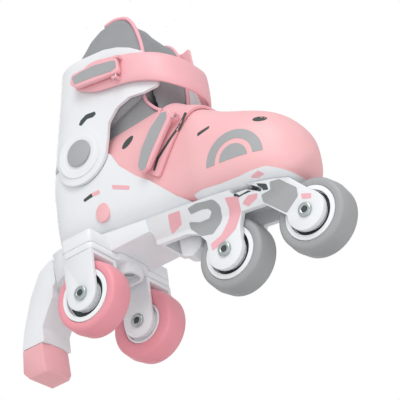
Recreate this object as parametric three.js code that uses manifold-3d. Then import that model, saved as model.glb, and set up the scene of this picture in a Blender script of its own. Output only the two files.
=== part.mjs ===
// Child's convertible roller skate: two wheels in line in front, and two rear wheels side by side
// that swing into line with them. Millimetres, +Z up, +X to the toe, +Y to the wearer's left.
import * as THREE from "three";
import { mergeVertices } from "three/addons/utils/BufferGeometryUtils.js";
import Module from "manifold-3d";

const wasm = await Module();
wasm.setup();

// ---- Driving dimensions -------------------------------------------------------------------------
const gap = 0.3; // between pieces that touch
const runningGap = 0.4; // between pieces that turn or slide on each other

// Wheels
const wheelRadius = 32;
const wheelWidth = 24;
const hubRadius = 18.5; // hub barrel under the tyre
const hubRimRadius = 23.3; // rim that shows on the outer side
const hubRimDepth = 4.3;
const hubRimProud = 0.6;
const bearingRadius = 11;
const bearingWidth = 7;
const bearingInset = 0.5; // from the wheel's side
const bearingBossRadius = 6;
const axleRadius = 3.7;
const axlePlay = 0.3; // between the bolt and the bearing's bore
const boltHeadRadius = 6.2;
const boltHeadHeight = 2.1;
const socketRadius = 2.6;
const socketDepth = 1.5;
const dropoutRadius = 17;
const sideClearance = 1.3; // between a wheel and the leg beside it

// Running layout, from the kingpin of the rear wheels
const kingpinX = -58.2;
const swivelRadius = 37.5; // from the kingpin to each rear fork's pivot
const secondWheelX = 63.8;
const frontWheelX = 143.1;

// Rear forks and the swivel block that carries them
const forkLeg = 3.4;
const forkHalfLength = 15;
const bridgeClearance = 1.2; // over the tyre
const bridgeThickness = 3.8;
const armThickness = 6;
const armHalfWidth = 16;
const armReach = 54.5;
const armCorner = 5;
const armMiddle = [20, 22]; // half sizes of the wider middle of the arm, round the lock pin
const pinRadius = 4;
const pinHeadRadius = 7;
const pinHeadHeight = 2.4;
const hubBossRadius = 12.5;
const hubBossDrop = 9;
const kingpinRadius = 4;
const kingpinHeadRadius = 8;
const kingpinHeadHeight = 5;
const kingpinNutHeight = 4.5;
const lockRadius = 4.2;
const lockX = 14; // from the kingpin

// Chassis
const wallThickness = 5;
const channelClearance = 1.5; // between a front wheel and the wall
const deckThickness = 4;
const deckFlare = 16; // height over which the walls flare out to the boot
const chassisRear = -112;
const chassisToe = 134;
const chassisDepth = 19.1; // from the turntable up to the sole, over the kingpin
const chassisHalfWidth = 30;
const heelScrewPlaces = [-84, -18];
const heelScrewRadius = 2.5;
const heelScrewHead = 5;
const heelScrewDepth = 9;
const outriggerHeight = 11.5;
const outriggerInner = 24;

// Boot form
const bootDatum = 94.8; // height of the sole over the kingpin in the boot's own frame
const soleSlope = 0.144; // fall of the sole per millimetre towards the toe
const bootRear = -106;
const bootToe = 152;
const bootHalfWidth = 40;
const shellThickness = 3;
const shellGap = 0.4; // between the heel shell and the toe shell inside it
const linerGap = 2.3;
const linerThickness = 4.3;
const insoleThickness = 3;
const linerFootTop = 172;
const sizeTravel = 18; // of the toe shell

// Cuff
const cuffPivotX = -55;
const cuffPivotZ = 175;
const cuffThickness = 3.2;
const cuffEarRadius = 29.5;
const cuffBossRadius = 22.8;
const cuffBossProud = 0.8;
const heelEarRadius = 17;
const heelEarThickness = 3.4;
const heelEarShare = 0.84; // of the boot's half width, at the ears' outer faces
const cuffGap = 0.8; // from the ears to the cuff
const cuffLean = 0.206; // forward travel per millimetre of height
const badgeRadius = 12.6;
const badgeThickness = 1.6;
const rivetRadius = 3.7;
const rivetHeadRadius = 7;
const rivetHeadHeight = 1.8;
const upperLinerThickness = 5;

// Straps, levers and buttons
const strapThickness = 2.6;
const strapStandOff = 1.2; // cuff strap from the cuff
const strapLift = 0.6; // instep strap over the toe shell
const leverThickness = 5;
const leverPinRadius = 1.3;
const lugThickness = 2.4;
const buttonSize = 7.4;
const buttonDepth = 4.6;

// Brake
const padHalfWidth = 18;
const padFront = -130;
const padRear = -157;
const padTop = 30;
const padBottom = 3;
const padScrewRadius = 2.5;
const padScrewHead = 4.2;
const padScrewDepth = 16; // in the pad
const armFoot = 5; // thickness of the arm over the pad
const brakeBoltRadius = 3;
const brakeBoltDrop = 6; // below the sole

// ---- Derived places ------------------------------------------------------------------------------
const bearingBore = axleRadius + axlePlay;
const legInner = wheelWidth / 2 + sideClearance;
const forkOuter = legInner + forkLeg;
const wallInner = wheelWidth / 2 + channelClearance;
const wallOuter = wallInner + wallThickness;
const bridgeBottom = 2 * wheelRadius + bridgeClearance;
const bridgeTop = bridgeBottom + bridgeThickness;
const armBottom = bridgeTop + gap;
const armTop = armBottom + armThickness;
const turntable = armTop + runningGap; // underside of the chassis over the block
const soleHeight = turntable + chassisDepth;
const bootLift = soleHeight - bootDatum;
const sole = (x) => bootDatum - soleSlope * (x - kingpinX);
const soleTop = (x) => sole(x) + bootLift - gap; // of the chassis, under the boot
const armSweep = Math.hypot(armReach - armCorner, armHalfWidth - armCorner) + armCorner;
const chassisStep = kingpinX + armSweep + 1.1; // front walls begin clear of the turning arm
const heelEarFace = bootHalfWidth * heelEarShare;
const heelEarInner = heelEarFace - heelEarThickness;
const cuffInnerFace = heelEarFace + cuffGap;
const cuffHalfWidth = cuffInnerFace + cuffThickness;
const cuffBossFace = cuffHalfWidth + cuffBossProud;

// ---- Materials -----------------------------------------------------------------------------------
const finish = (color, roughness, metalness = 0) =>
  new THREE.MeshStandardMaterial({ color, roughness, metalness });
const white = finish(0xe3e5e7, 0.38);
const pink = finish(0xe6a9ad, 0.4);
const pinkTyre = finish(0xe5939e, 0.5);
const greyTyre = finish(0x9b9d9e, 0.5);
const greyTrim = finish(0x9a9d9e, 0.5);
const greyFabric = finish(0x8d9194, 0.9);
const steel = finish(0xb9bdc0, 0.3, 1);
const darkSteel = finish(0x6f7477, 0.35, 1);

// ---- Geometry helpers ----------------------------------------------------------------------------
// A closed geometry as a solid for joining and cutting.
function solid(geometry) {
  const bare = new THREE.BufferGeometry();
  const source = geometry.index ? geometry.toNonIndexed() : geometry;
  bare.setAttribute("position", source.getAttribute("position"));
  const merged = mergeVertices(bare, 1e-4);
  const kept = [];
  const index = merged.index.array;
  for (let i = 0; i < index.length; i += 3) {
    const [a, b, c] = [index[i], index[i + 1], index[i + 2]];
    if (a !== b && b !== c && a !== c) kept.push(a, b, c);
  }
  return new wasm.Manifold(
    new wasm.Mesh({
      numProp: 3,
      vertProperties: merged.attributes.position.array,
      triVerts: new Uint32Array(kept),
    }),
  );
}

// A solid back as a geometry.
function surface(body) {
  const mesh = body.getMesh();
  const geometry = new THREE.BufferGeometry();
  const position = new THREE.BufferAttribute(new Float32Array(mesh.vertProperties), 3);
  geometry.setAttribute("position", position);
  geometry.setIndex(new THREE.BufferAttribute(new Uint32Array(mesh.triVerts), 1));
  geometry.computeVertexNormals();
  return geometry;
}

const join = (first, ...rest) => rest.reduce((body, other) => body.add(other), first);
const cut = (first, ...rest) => rest.reduce((body, other) => body.subtract(other), first);

// An outline with rounded corners from [across, up, corner radius] points.
function rounded(points, steps = 4) {
  const out = [];
  const count = points.length;
  for (let i = 0; i < count; i += 1) {
    const [x, z, radius = 0] = points[i];
    const corner = new THREE.Vector2(x, z);
    if (!radius) {
      out.push(corner);
      continue;
    }
    const before = new THREE.Vector2(...points[(i + count - 1) % count]).sub(corner);
    const after = new THREE.Vector2(...points[(i + 1) % count]).sub(corner);
    const half = Math.abs(before.angleTo(after)) / 2;
    const reach = Math.min(radius / Math.tan(half), before.length() * 0.45, after.length() * 0.45);
    const start = corner.clone().addScaledVector(before.normalize(), reach);
    const end = corner.clone().addScaledVector(after.normalize(), reach);
    const bend = new THREE.QuadraticBezierCurve(start, corner, end);
    out.push(...bend.getPoints(steps));
  }
  return out;
}

// An outline in the X-Z plane, extruded along Y.
function slabY(points, yLow, yHigh) {
  const geometry = new THREE.ExtrudeGeometry(new THREE.Shape(rounded(points)), {
    depth: yHigh - yLow,
    bevelEnabled: false,
    curveSegments: 6,
  });
  geometry.rotateX(Math.PI / 2);
  geometry.translate(0, yHigh, 0);
  return solid(geometry);
}

// An outline in the X-Y plane, extruded along Z.
function slabZ(points, zLow, zHigh) {
  const geometry = new THREE.ExtrudeGeometry(new THREE.Shape(rounded(points)), {
    depth: zHigh - zLow,
    bevelEnabled: false,
    curveSegments: 6,
  });
  geometry.translate(0, 0, zLow);
  return solid(geometry);
}

const box = (x0, x1, y0, y1, z0, z1) =>
  solid(new THREE.BoxGeometry(x1 - x0, y1 - y0, z1 - z0)
    .translate((x0 + x1) / 2, (y0 + y1) / 2, (z0 + z1) / 2));

// A round bar along X, Y or Z, and an upright oval one along Y.
function barX(radius, z, x0, x1, sides = 14) {
  const bar = new THREE.CylinderGeometry(radius, radius, x1 - x0, sides);
  return solid(bar.rotateZ(Math.PI / 2).translate((x0 + x1) / 2, 0, z));
}
function barY(radius, x, z, y0, y1, sides = 14) {
  const bar = new THREE.CylinderGeometry(radius, radius, y1 - y0, sides);
  return solid(bar.translate(x, (y0 + y1) / 2, z));
}
function barZ(radius, x, y, z0, z1, sides = 14) {
  const bar = new THREE.CylinderGeometry(radius, radius, z1 - z0, sides);
  return solid(bar.rotateX(Math.PI / 2).translate(x, y, (z0 + z1) / 2));
}

function ovalY([x, z], size, y0, y1) {
  const bar = new THREE.CylinderGeometry(1, 1, y1 - y0, 20);
  bar.scale(size, 1, size + 2);
  return solid(bar.translate(x, (y0 + y1) / 2, z));
}

// A [radius, height] profile turned about Y.
function turned(profile, sides = 24) {
  const points = profile.map(([r, h]) => new THREE.Vector2(r, h));
  points.push(points[0].clone());
  return solid(new THREE.LatheGeometry(points, sides));
}

// Matching closed loops of points, skinned and capped at both ends.
function loft(loops) {
  const vertices = [];
  const triangle = (a, b, c) => vertices.push(...a, ...b, ...c);
  const size = loops[0].length;
  for (let i = 0; i + 1 < loops.length; i += 1) {
    for (let j = 0; j < size; j += 1) {
      const k = (j + 1) % size;
      triangle(loops[i][j], loops[i][k], loops[i + 1][j]);
      triangle(loops[i][k], loops[i + 1][k], loops[i + 1][j]);
    }
  }
  const middle = (loop) => [0, 1, 2].map((axis) => loop.reduce((sum, p) => sum + p[axis], 0) / size);
  const first = loops[0];
  const last = loops[loops.length - 1];
  const firstMiddle = middle(first);
  const lastMiddle = middle(last);
  for (let j = 0; j < size; j += 1) {
    const k = (j + 1) % size;
    triangle(firstMiddle, first[k], first[j]);
    triangle(lastMiddle, last[j], last[k]);
  }
  const geometry = new THREE.BufferGeometry();
  geometry.setAttribute("position", new THREE.Float32BufferAttribute(vertices, 3));
  const body = solid(geometry);
  if (body.volume() > 0) return body;
  return loft(loops.map((loop) => [...loop].reverse()));
}

// Straight-line lookup in a table of [place, value] pairs.
function along(table, x) {
  if (x <= table[0][0]) return table[0][1];
  for (let i = 1; i < table.length; i += 1) {
    const [x0, v0] = table[i - 1];
    const [x1, v1] = table[i];
    if (x <= x1) return v0 + ((v1 - v0) * (x - x0)) / (x1 - x0);
  }
  return table[table.length - 1][1];
}

// ---- The assembly --------------------------------------------------------------------------------
const skate = new THREE.Group();
const rearEdge = padRear;
const frontEdge = frontWheelX + wheelRadius;
skate.position.x = -(rearEdge + frontEdge) / 2;

const boot = new THREE.Group();
boot.position.z = bootLift;
skate.add(boot);

function add(name, body, material, parent = skate) {
  const mesh = new THREE.Mesh(surface(body), material);
  mesh.name = name;
  parent.add(mesh);
  return mesh;
}

// ---- Wheels: tyre, hub, two bearings, and a bolt and nut ------------------------------------------
// Each wheel lies in a group at its axle, with its rim side towards -Y.
function tyre() {
  const half = wheelWidth / 2;
  const bore = hubRadius + gap;
  const rimBore = hubRimRadius + gap;
  const rimSeat = -half - hubRimProud + hubRimDepth + gap;
  return turned([
    [rimBore, -half],
    [wheelRadius - 4.5, -half],
    [wheelRadius - 1.6, -half + 2.8],
    [wheelRadius, -2.5],
    [wheelRadius, 2.5],
    [wheelRadius - 1.6, half - 2.8],
    [wheelRadius - 4.5, half],
    [bore, half],
    [bore, rimSeat],
    [rimBore, rimSeat],
  ], 24);
}
function hub() {
  const half = wheelWidth / 2;
  const seat = bearingRadius + gap;
  const shoulder = half - bearingInset - bearingWidth - gap;
  const web = half - 4;
  const lip = seat + 2.4;
  return turned([
    [seat - 3, -shoulder],
    [seat, -shoulder],
    [seat, -half + bearingInset],
    [lip, -half + bearingInset],
    [lip, -web],
    [hubRadius + 0.8, -web],
    [hubRadius + 0.8, -half - hubRimProud],
    [hubRimRadius, -half - hubRimProud],
    [hubRimRadius, -half - hubRimProud + hubRimDepth],
    [hubRadius, -half - hubRimProud + hubRimDepth],
    [hubRadius, half - 1],
    [hubRadius - 2, half - 1],
    [hubRadius - 2, web],
    [lip, web],
    [lip, half - bearingInset],
    [seat, half - bearingInset],
    [seat, shoulder],
    [seat - 3, shoulder],
  ], 18);
}
function bearing(side) {
  const outer = side * (wheelWidth / 2 - bearingInset);
  const inner = outer - side * bearingWidth;
  const [low, high] = [Math.min(outer, inner), Math.max(outer, inner)];
  return turned([
    [bearingBore, low],
    [bearingRadius, low],
    [bearingRadius, high],
    [bearingBore, high],
  ], 14);
}
const socket = (y0, y1) => barY(socketRadius, 0, 0, y0, y1, 6);
// The bolt's head bears on the leg's outer face, and its shank ends inside the nut.
function axleBolt(face) {
  const headTop = face + gap + boltHeadHeight;
  const body = join(
    barY(boltHeadRadius, 0, 0, -headTop, -face - gap),
    barY(axleRadius, 0, 0, -face - gap - 0.5, face - 3),
  );
  return cut(body, socket(-headTop - 1, -headTop + socketDepth));
}
function axleNut(face) {
  const headTop = face + gap + boltHeadHeight;
  const body = join(
    barY(boltHeadRadius, 0, 0, face + gap, headTop),
    barY(axleRadius, 0, 0, face - 3 + gap, face + gap + 0.5),
  );
  return cut(body, socket(headTop - socketDepth, headTop + 1));
}
function wheel(name, x, y, face, turnedRound, tyreMaterial) {
  const place = new THREE.Group();
  place.position.set(x, y, wheelRadius);
  place.rotation.z = turnedRound ? Math.PI : 0;
  skate.add(place);
  add(`${name}_tyre`, tyre(), tyreMaterial, place);
  add(`${name}_hub`, hub(), white, place);
  add(`${name}_bearing_outer`, bearing(-1), steel, place);
  add(`${name}_bearing_inner`, bearing(1), steel, place);
  add(`${name}_axle_bolt`, axleBolt(face), steel, place);
  add(`${name}_axle_nut`, axleNut(face), steel, place);
}
wheel("front_wheel", frontWheelX, 0, wallOuter, false, greyTyre);
wheel("middle_wheel", secondWheelX, 0, wallOuter, false, greyTyre);
wheel("rear_right_wheel", kingpinX, -swivelRadius, forkOuter, false, pinkTyre);
wheel("rear_left_wheel", kingpinX, swivelRadius, forkOuter, true, pinkTyre);

// ---- Rear forks: a bridge over the tyre and two legs, hung on a pivot pin --------------------------
const axleHole = axleRadius + gap;
const bearingBoss = sideClearance + bearingInset - gap; // from a leg in to the bearing
function legOutline(top) {
  const r = forkHalfLength;
  const round = [];
  for (let i = 0; i <= 12; i += 1) {
    const angle = Math.PI + (Math.PI * i) / 12;
    round.push([r * Math.cos(angle), wheelRadius + r * Math.sin(angle)]);
  }
  return [[-r, top], ...round, [r, top]];
}
function fork() {
  const outline = legOutline(bridgeTop);
  const legs = [-1, 1].map((side) => {
    const near = Math.min(side * legInner, side * forkOuter);
    const far = Math.max(side * legInner, side * forkOuter);
    const boss = side * (legInner - bearingBoss);
    const root = side * (legInner + 1);
    return join(
      slabY(outline, near, far),
      barY(bearingBossRadius, 0, wheelRadius, Math.min(boss, root), Math.max(boss, root)),
    );
  });
  const bridge = slabZ([
    [-forkHalfLength, -forkOuter, 2],
    [forkHalfLength, -forkOuter, 2],
    [forkHalfLength, forkOuter, 2],
    [-forkHalfLength, forkOuter, 2],
  ], bridgeBottom, bridgeTop);
  const pivot = join(
    barZ(pinRadius + gap, 0, 0, bridgeBottom - 1, bridgeTop + 1),
    barZ(pinRadius + 1.8 + gap, 0, 0, bridgeBottom - 1, bridgeBottom + 1.6),
  );
  return cut(join(bridge, ...legs), barY(axleHole, 0, wheelRadius, -forkOuter - 1, forkOuter + 1), pivot);
}
// The pin is headed in the arm above and riveted over inside the bridge below.
function forkPin() {
  const head = armTop - 0.2;
  return join(
    barZ(pinHeadRadius, 0, 0, head - pinHeadHeight, head),
    barZ(pinRadius, 0, 0, bridgeBottom + 0.2, head - 0.5),
    barZ(pinRadius + 1.8, 0, 0, bridgeBottom + 0.1, bridgeBottom + 1.6 - gap),
  );
}
for (const [name, side] of [["right", -1], ["left", 1]]) {
  const place = new THREE.Group();
  place.position.set(kingpinX, side * swivelRadius, 0);
  place.rotation.z = side > 0 ? Math.PI : 0;
  skate.add(place);
  add(`fork_${name}`, fork(), white, place);
  add(`fork_pin_${name}`, forkPin(), steel, place);
}

// ---- Swivel block: the cross arm that turns about the kingpin --------------------------------------
const bossBottom = armBottom - hubBossDrop;
const recessTop = armBottom - hubBossDrop + 6.5; // ceiling of the recess in the boss
const kingpinTop = turntable + 10.5 + kingpinHeadHeight;
const recessOutline = (radius, front) => [
  [-radius, -radius, radius * 0.9],
  [front, -radius, radius * 0.9],
  [front, radius, radius * 0.9],
  [-radius, radius, radius * 0.9],
];
function swivelBlock() {
  const plate = (x, y, corner) => slabZ([
    [-x, -y, corner],
    [x, -y, corner],
    [x, y, corner],
    [-x, y, corner],
  ], armBottom, armTop);
  const arm = join(plate(armHalfWidth, armReach, armCorner), plate(...armMiddle, 9));
  const boss = slabZ([
    [-hubBossRadius, -hubBossRadius, 10],
    [lockX + 8, -hubBossRadius, 10],
    [lockX + 8, hubBossRadius, 10],
    [-hubBossRadius, hubBossRadius, 10],
  ], bossBottom, armBottom + 1);
  const recess = slabZ(recessOutline(hubBossRadius - 2.5, lockX + 5.5), bossBottom - 1, recessTop);
  const holes = [
    barZ(kingpinRadius + gap, 0, 0, bossBottom, armTop + 1),
    barZ(lockRadius + gap, lockX, 0, bossBottom, armTop + 1),
  ];
  for (const side of [-1, 1]) {
    const y = side * swivelRadius;
    holes.push(barZ(pinRadius + gap, 0, y, armBottom - 1, armTop + 1));
    holes.push(barZ(pinHeadRadius + gap, 0, y, armTop - 0.2 - pinHeadHeight - gap, armTop + 1));
  }
  return cut(join(arm, boss), recess, ...holes).translate([kingpinX, 0, 0]);
}
add("swivel_block", swivelBlock(), white);

// The kingpin hangs from the chassis and the nut under the block holds the block up.
const kingpinFoot = bossBottom + 1;
add("kingpin", join(
  barZ(kingpinHeadRadius, kingpinX, 0, kingpinTop - kingpinHeadHeight, kingpinTop),
  barZ(kingpinRadius, kingpinX, 0, kingpinFoot, kingpinTop - 1),
), darkSteel);
const nutTop = recessTop - gap;
add("kingpin_nut", cut(
  barZ(7.4, kingpinX, 0, nutTop - kingpinNutHeight, nutTop, 6),
  barZ(kingpinRadius + gap, kingpinX, 0, kingpinFoot - 5, nutTop + 1),
), steel);

// A sprung lock pin in the block, pulled down by its flange to free the block.
const lockTop = armTop - 0.3;
const lockFlange = recessTop - gap;
add("lock_pin", join(
  barZ(lockRadius, kingpinX + lockX, 0, lockFlange - 2, lockTop),
  barZ(lockRadius + 1, kingpinX + lockX, 0, lockFlange - 2.2, lockFlange),
), steel);

// ---- Chassis: rear turntable block, outriggers, and the front channel -----------------------------
function chassis() {
  const rearBlock = loft([
    [chassisRear, 19],
    [chassisRear + 6, 25],
    [chassisRear + 18, chassisHalfWidth],
    [chassisStep, chassisHalfWidth],
  ].map(([x, half]) => [
    [x, -half, soleTop(x)],
    [x, -half + 3, turntable],
    [x, half - 3, turntable],
    [x, half, soleTop(x)],
  ]));
  const outriggers = [-1, 1].map((side) => {
    const inner = Math.min(side * outriggerInner, side * armReach);
    const outer = Math.max(side * outriggerInner, side * armReach);
    return slabZ([
      [kingpinX - armHalfWidth, inner, side < 0 ? 4 : 0],
      [kingpinX + armHalfWidth, inner, side < 0 ? 4 : 0],
      [kingpinX + armHalfWidth, outer, side > 0 ? 4 : 0],
      [kingpinX - armHalfWidth, outer, side > 0 ? 4 : 0],
    ], turntable, turntable + outriggerHeight);
  });
  const dropouts = [secondWheelX, frontWheelX].map((x) =>
    barY(dropoutRadius, x, wheelRadius, -wallOuter, wallOuter, 32));
  const wall = slabY([
    [chassisStep - 6, soleTop(chassisStep - 6)],
    [chassisStep - 6, turntable],
    [chassisStep, turntable],
    [chassisStep, wheelRadius + 33.5, 3],
    [13, wheelRadius + 32, 4],
    [30, wheelRadius + 30, 4],
    [secondWheelX - 23, wheelRadius + 25, 4],
    [secondWheelX - 16, wheelRadius + 15, 6],
    [secondWheelX - 16, wheelRadius],
    [secondWheelX + 16, wheelRadius],
    [secondWheelX + 18, wheelRadius + 16, 5],
    [secondWheelX + 23, wheelRadius + 30, 4],
    [92, wheelRadius + 28, 4],
    [106, wheelRadius + 24, 4],
    [frontWheelX - 18, wheelRadius + 4, 3],
    [frontWheelX - 12, wheelRadius - 4],
    [frontWheelX + 10, wheelRadius + 5],
    [frontWheelX + 8, wheelRadius + 15],
    [frontWheelX + 3, wheelRadius + 21, 3],
    [chassisToe, soleTop(chassisToe)],
  ], -wallOuter, wallOuter);
  const deck = loft([
    [chassisStep, chassisHalfWidth],
    [30, 31],
    [70, 31],
    [105, 29.5],
    [122, 25],
    [chassisToe, 19],
  ].map(([x, half]) => [
    [x, -half, soleTop(x)],
    [x, -wallOuter, soleTop(x) - Math.min(deckFlare, along([[105, deckFlare], [chassisToe, 4]], x))],
    [x, wallOuter, soleTop(x) - Math.min(deckFlare, along([[105, deckFlare], [chassisToe, 4]], x))],
    [x, half, soleTop(x)],
  ]));
  const channel = slabY([
    [chassisStep + 5, 0],
    [frontWheelX + 60, 0],
    [frontWheelX + 60, soleTop(frontWheelX + 60) - 2.8],
    [118, soleTop(118) - 2.8],
    [110, soleTop(110) - deckThickness],
    [chassisStep + 5, soleTop(chassisStep + 5) - deckThickness],
  ], -wallInner, wallInner);
  const keelFront = secondWheelX - wheelRadius + 5.2;
  const keel = slabY([
    [keelFront - 24, soleTop(keelFront - 24) - 2],
    [keelFront - 22, wheelRadius + 20, 4],
    [keelFront - 13, wheelRadius + 16, 6],
    [keelFront - 3, wheelRadius + 21, 4],
    [keelFront, wheelRadius + 30],
    [keelFront - 5, soleTop(keelFront - 5) - 2],
  ], -7, 7);
  const axles = [secondWheelX, frontWheelX].map((x) =>
    barY(axleHole, x, wheelRadius, -wallOuter - 1, wallOuter + 1));
  const bosses = [secondWheelX, frontWheelX].flatMap((x) => [-1, 1].map((side) => {
    const inner = side * (wallInner - channelClearance - bearingInset + gap);
    const root = side * (wallInner + 1);
    return barY(bearingBossRadius, x, wheelRadius, Math.min(inner, root), Math.max(inner, root));
  }));
  const slotOutline = [
    [83, wheelRadius + 42, 2],
    [85, wheelRadius + 38.6, 2],
    [98, wheelRadius + 37, 6],
    [109, wheelRadius + 31, 2],
    [111.5, wheelRadius + 33.5, 2],
    [100, wheelRadius + 40.5, 6],
  ];
  const slots = [slabY(slotOutline, -60, -wallInner + 1), slabY(slotOutline, wallInner - 1, 60)];
  const kingpinPocket = join(
    barZ(kingpinHeadRadius + gap, kingpinX, 0, kingpinTop - kingpinHeadHeight - gap, soleHeight + 9),
    barZ(kingpinRadius + gap, kingpinX, 0, turntable - 1, soleHeight),
  );
  const screwHoles = heelScrewPlaces.map((x) =>
    barZ(heelScrewRadius + gap, x, 0, soleTop(x) - heelScrewDepth, soleHeight + 20));
  const body = cut(join(wall, deck), channel);
  return cut(
    join(rearBlock, body, keel, ...outriggers, ...cutToWalls(dropouts), ...bosses),
    ...axles,
    ...slots,
    kingpinPocket,
    ...screwHoles,
    barX(brakeBoltRadius + gap, brakeBoltZ, chassisRear - 1, chassisRear + 13),
  );
}
function cutToWalls(bodies) {
  const between = box(-200, 200, -wallInner, wallInner, 0, 100);
  return bodies.map((body) => cut(body, between));
}
const brakeBoltZ = soleTop(chassisRear) - brakeBoltDrop - 7;
add("chassis", chassis(), white);
for (const [i, x] of heelScrewPlaces.entries()) {
  const seat = soleTop(x - heelScrewHead) + shellThickness + 3 * gap;
  add(`heel_screw_${i ? "front" : "rear"}`, join(
    barZ(heelScrewHead, x, 0, seat, seat + 2),
    barZ(heelScrewRadius, x, 0, soleTop(x) - heelScrewDepth + 0.5, seat + 0.5),
  ), steel);
}

// ---- Brake: arm bolted to the back of the chassis, and its rubber pad ------------------------------
const padMiddle = (padRear + padFront) / 2;
function brakeArm() {
  const front = chassisRear - gap;
  const arm = slabY([
    [front, soleTop(chassisRear)],
    [-116, soleTop(-116), 4],
    [-129, 96, 8],
    [-141, 76, 12],
    [-151.5, 48, 10],
    [padRear + 1.5, padTop + gap],
    [padFront - 1, padTop + gap],
    [padFront - 1, 44, 6],
    [-124, 56, 6],
    [-117, 67, 4],
    [-115.6, turntable + 0.8, 1],
    [front, turntable + 4],
  ], -padHalfWidth, padHalfWidth);
  const boltHole = join(
    barX(brakeBoltRadius + gap, brakeBoltZ, -160, front + 1),
    barX(6.5, brakeBoltZ, -160, -121),
  );
  const hollow = slabY([
    [padFront - 5, padTop + armFoot],
    [padRear + 9, padTop + armFoot],
    [-147, 48, 4],
    [-137, 71, 6],
    [-127, 80, 3],
    [-121, 75, 3],
    [-129, 57, 4],
  ], -padHalfWidth + 3, padHalfWidth + 1);
  const screwHole = barZ(padScrewRadius + gap, padMiddle, 0, padTop, padTop + armFoot + 1);
  return cut(arm, boltHole, hollow, screwHole);
}
add("brake_arm", brakeArm(), white);
add("brake_bolt", join(
  barX(5.8, brakeBoltZ, -121 - 3, -121 - gap),
  barX(brakeBoltRadius, brakeBoltZ, -121 - 1, chassisRear + 12),
), steel);
function brakePad() {
  const top = padTop;
  const bottom = padBottom;
  const loop = (z, x0, x1, half, nose) => [
    [x0, -half, z],
    [x1 - nose, -half, z],
    [x1, -half * 0.35, z],
    [x1, half * 0.35, z],
    [x1 - nose, half, z],
    [x0, half, z],
  ];
  const pad = loft([
    loop(bottom, padRear + 4, padFront - 1.5, padHalfWidth - 3, 2),
    loop(bottom + 6, padRear, padFront, padHalfWidth, 3),
    loop(top, padRear + 1.5, padFront - 1, padHalfWidth, 3),
  ]);
  return cut(pad, barZ(padScrewRadius + gap, padMiddle, 0, top - padScrewDepth, top + 1));
}
add("brake_pad", brakePad(), pink);
const padScrewSeat = padTop + armFoot + gap;
add("brake_pad_screw", join(
  barZ(padScrewRadius, padMiddle, 0, padTop - padScrewDepth + 0.5, padScrewSeat + 1),
  barZ(padScrewHead, padMiddle, 0, padScrewSeat, padScrewSeat + 2),
), steel);

// ---- Boot form: one foot shape, drawn smaller for each layer inside it -----------------------------
const formWidth = [
  [bootRear, 8], [bootRear + 2, 16], [bootRear + 7, 23.5], [bootRear + 17, 30],
  [bootRear + 28, 33], [-58, 34.4], [15, 36.3], [48, 38.6], [78, 40], [102, 39.6],
  [118, 36.8], [131, 31.5], [140, 25.5], [147, 18], [150.5, 11.5], [bootToe, 6],
].map(([x, half]) => [x, (half * bootHalfWidth) / 40]);
const formTop = [
  [bootRear, 200], [24, 203], [35, 198], [47, 187], [60, 176], [75, 165], [91, 156], [105, 150],
  [118, 144], [131, 136], [140, 127.5], [147, 116], [150.5, 108], [bootToe, 100],
];
const toeSpring = [[131, 0], [140, 2.5], [147, 9], [150.5, 16], [bootToe, 23]];
// One cross-section of the form at x, shrunk by inset.
function formLoop(x, inset, count = 16) {
  const share = (x - bootRear) / (bootToe - bootRear);
  const place = bootRear + inset + share * (bootToe - bootRear - 2 * inset);
  const half = along(formWidth, x) * (1 - inset / bootHalfWidth);
  const low = sole(place) + Math.max(0, along(toeSpring, x)) + inset;
  const high = along(formTop, x) - inset;
  const middle = low + (high - low) * 0.42;
  const loop = [];
  for (let j = 0; j < count; j += 1) {
    const angle = (2 * Math.PI * (j + 0.5)) / count;
    const [c, s] = [Math.cos(angle), Math.sin(angle)];
    const power = s > 0 ? 0.8 : 0.5;
    const y = half * Math.sign(c) * Math.abs(c) ** power;
    const reach = s > 0 ? high - middle : middle - low;
    loop.push([place, y, middle + reach * Math.sign(s) * Math.abs(s) ** power]);
  }
  return loop;
}
const form = (inset, count) => loft(formWidth.map(([x]) => {
  const depth = typeof inset === "function" ? inset(x) : inset;
  return formLoop(x, depth, count);
}));
// Everything with |y| under a width inside an X-Z outline.
const region = (points, half = 80) => slabY(points, -half, half);

// ---- Heel shell: the white lower boot with the cuff's ears -----------------------------------------
const seam = [[48, sole(48)], [35, 91], [12, 116], [-1, 127], [-18, 146]];
function heelShell() {
  const shell = cut(form(0), form(shellThickness));
  const keep = region([
    [bootRear - 5, sole(bootRear) - 3],
    [49, sole(49) - 3],
    ...seam,
    [-26, 162, 6],
    [-36, 172, 6],
    [-75, 178, 6],
    [-84, 179.5],
    [bootRear - 5, 179.5],
  ]);
  const ears = [-1, 1].map((side) => barY(
    heelEarRadius, cuffPivotX, cuffPivotZ,
    Math.min(side * heelEarInner, side * heelEarFace),
    Math.max(side * heelEarInner, side * heelEarFace), 24,
  ));
  const earSpace = [-1, 1].map((side) => barY(
    cuffEarRadius + 1, cuffPivotX, cuffPivotZ,
    Math.min(side * (heelEarFace), side * 60),
    Math.max(side * (heelEarFace), side * 60), 40,
  ));
  const pivots = barY(rivetRadius + gap, cuffPivotX, cuffPivotZ, -60, 60);
  const slotLong = [[-26, 124, 1.5], [-12, 124, 1.5], [-12, 128, 1.5], [-26, 128, 1.5]];
  const slotBack = [[-60, 129, 1.5], [-46, 136, 1.5], [-46, 139, 1.5], [-60, 132.5, 1.5]];
  const slots = [slotLong, slotBack].flatMap((outline) =>
    [slabY(outline, -60, -20), slabY(outline, 20, 60)]);
  const buttonHole = ovalY(buttonPlace, buttonSize + gap, -60, 0);
  const screws = heelScrewPlaces.map((x) => barZ(heelScrewRadius + gap, x, 0, 80, 110));
  const rivetRoom = barY(rivetHeadRadius + 1, cuffPivotX, cuffPivotZ, -heelEarInner, heelEarInner);
  const holes = [...earSpace, pivots, rivetRoom, ...slots, buttonHole, ...screws];
  return cut(join(shell.intersect(keep), ...ears), ...holes);
}
const buttonPlace = [-41, 110];
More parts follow.
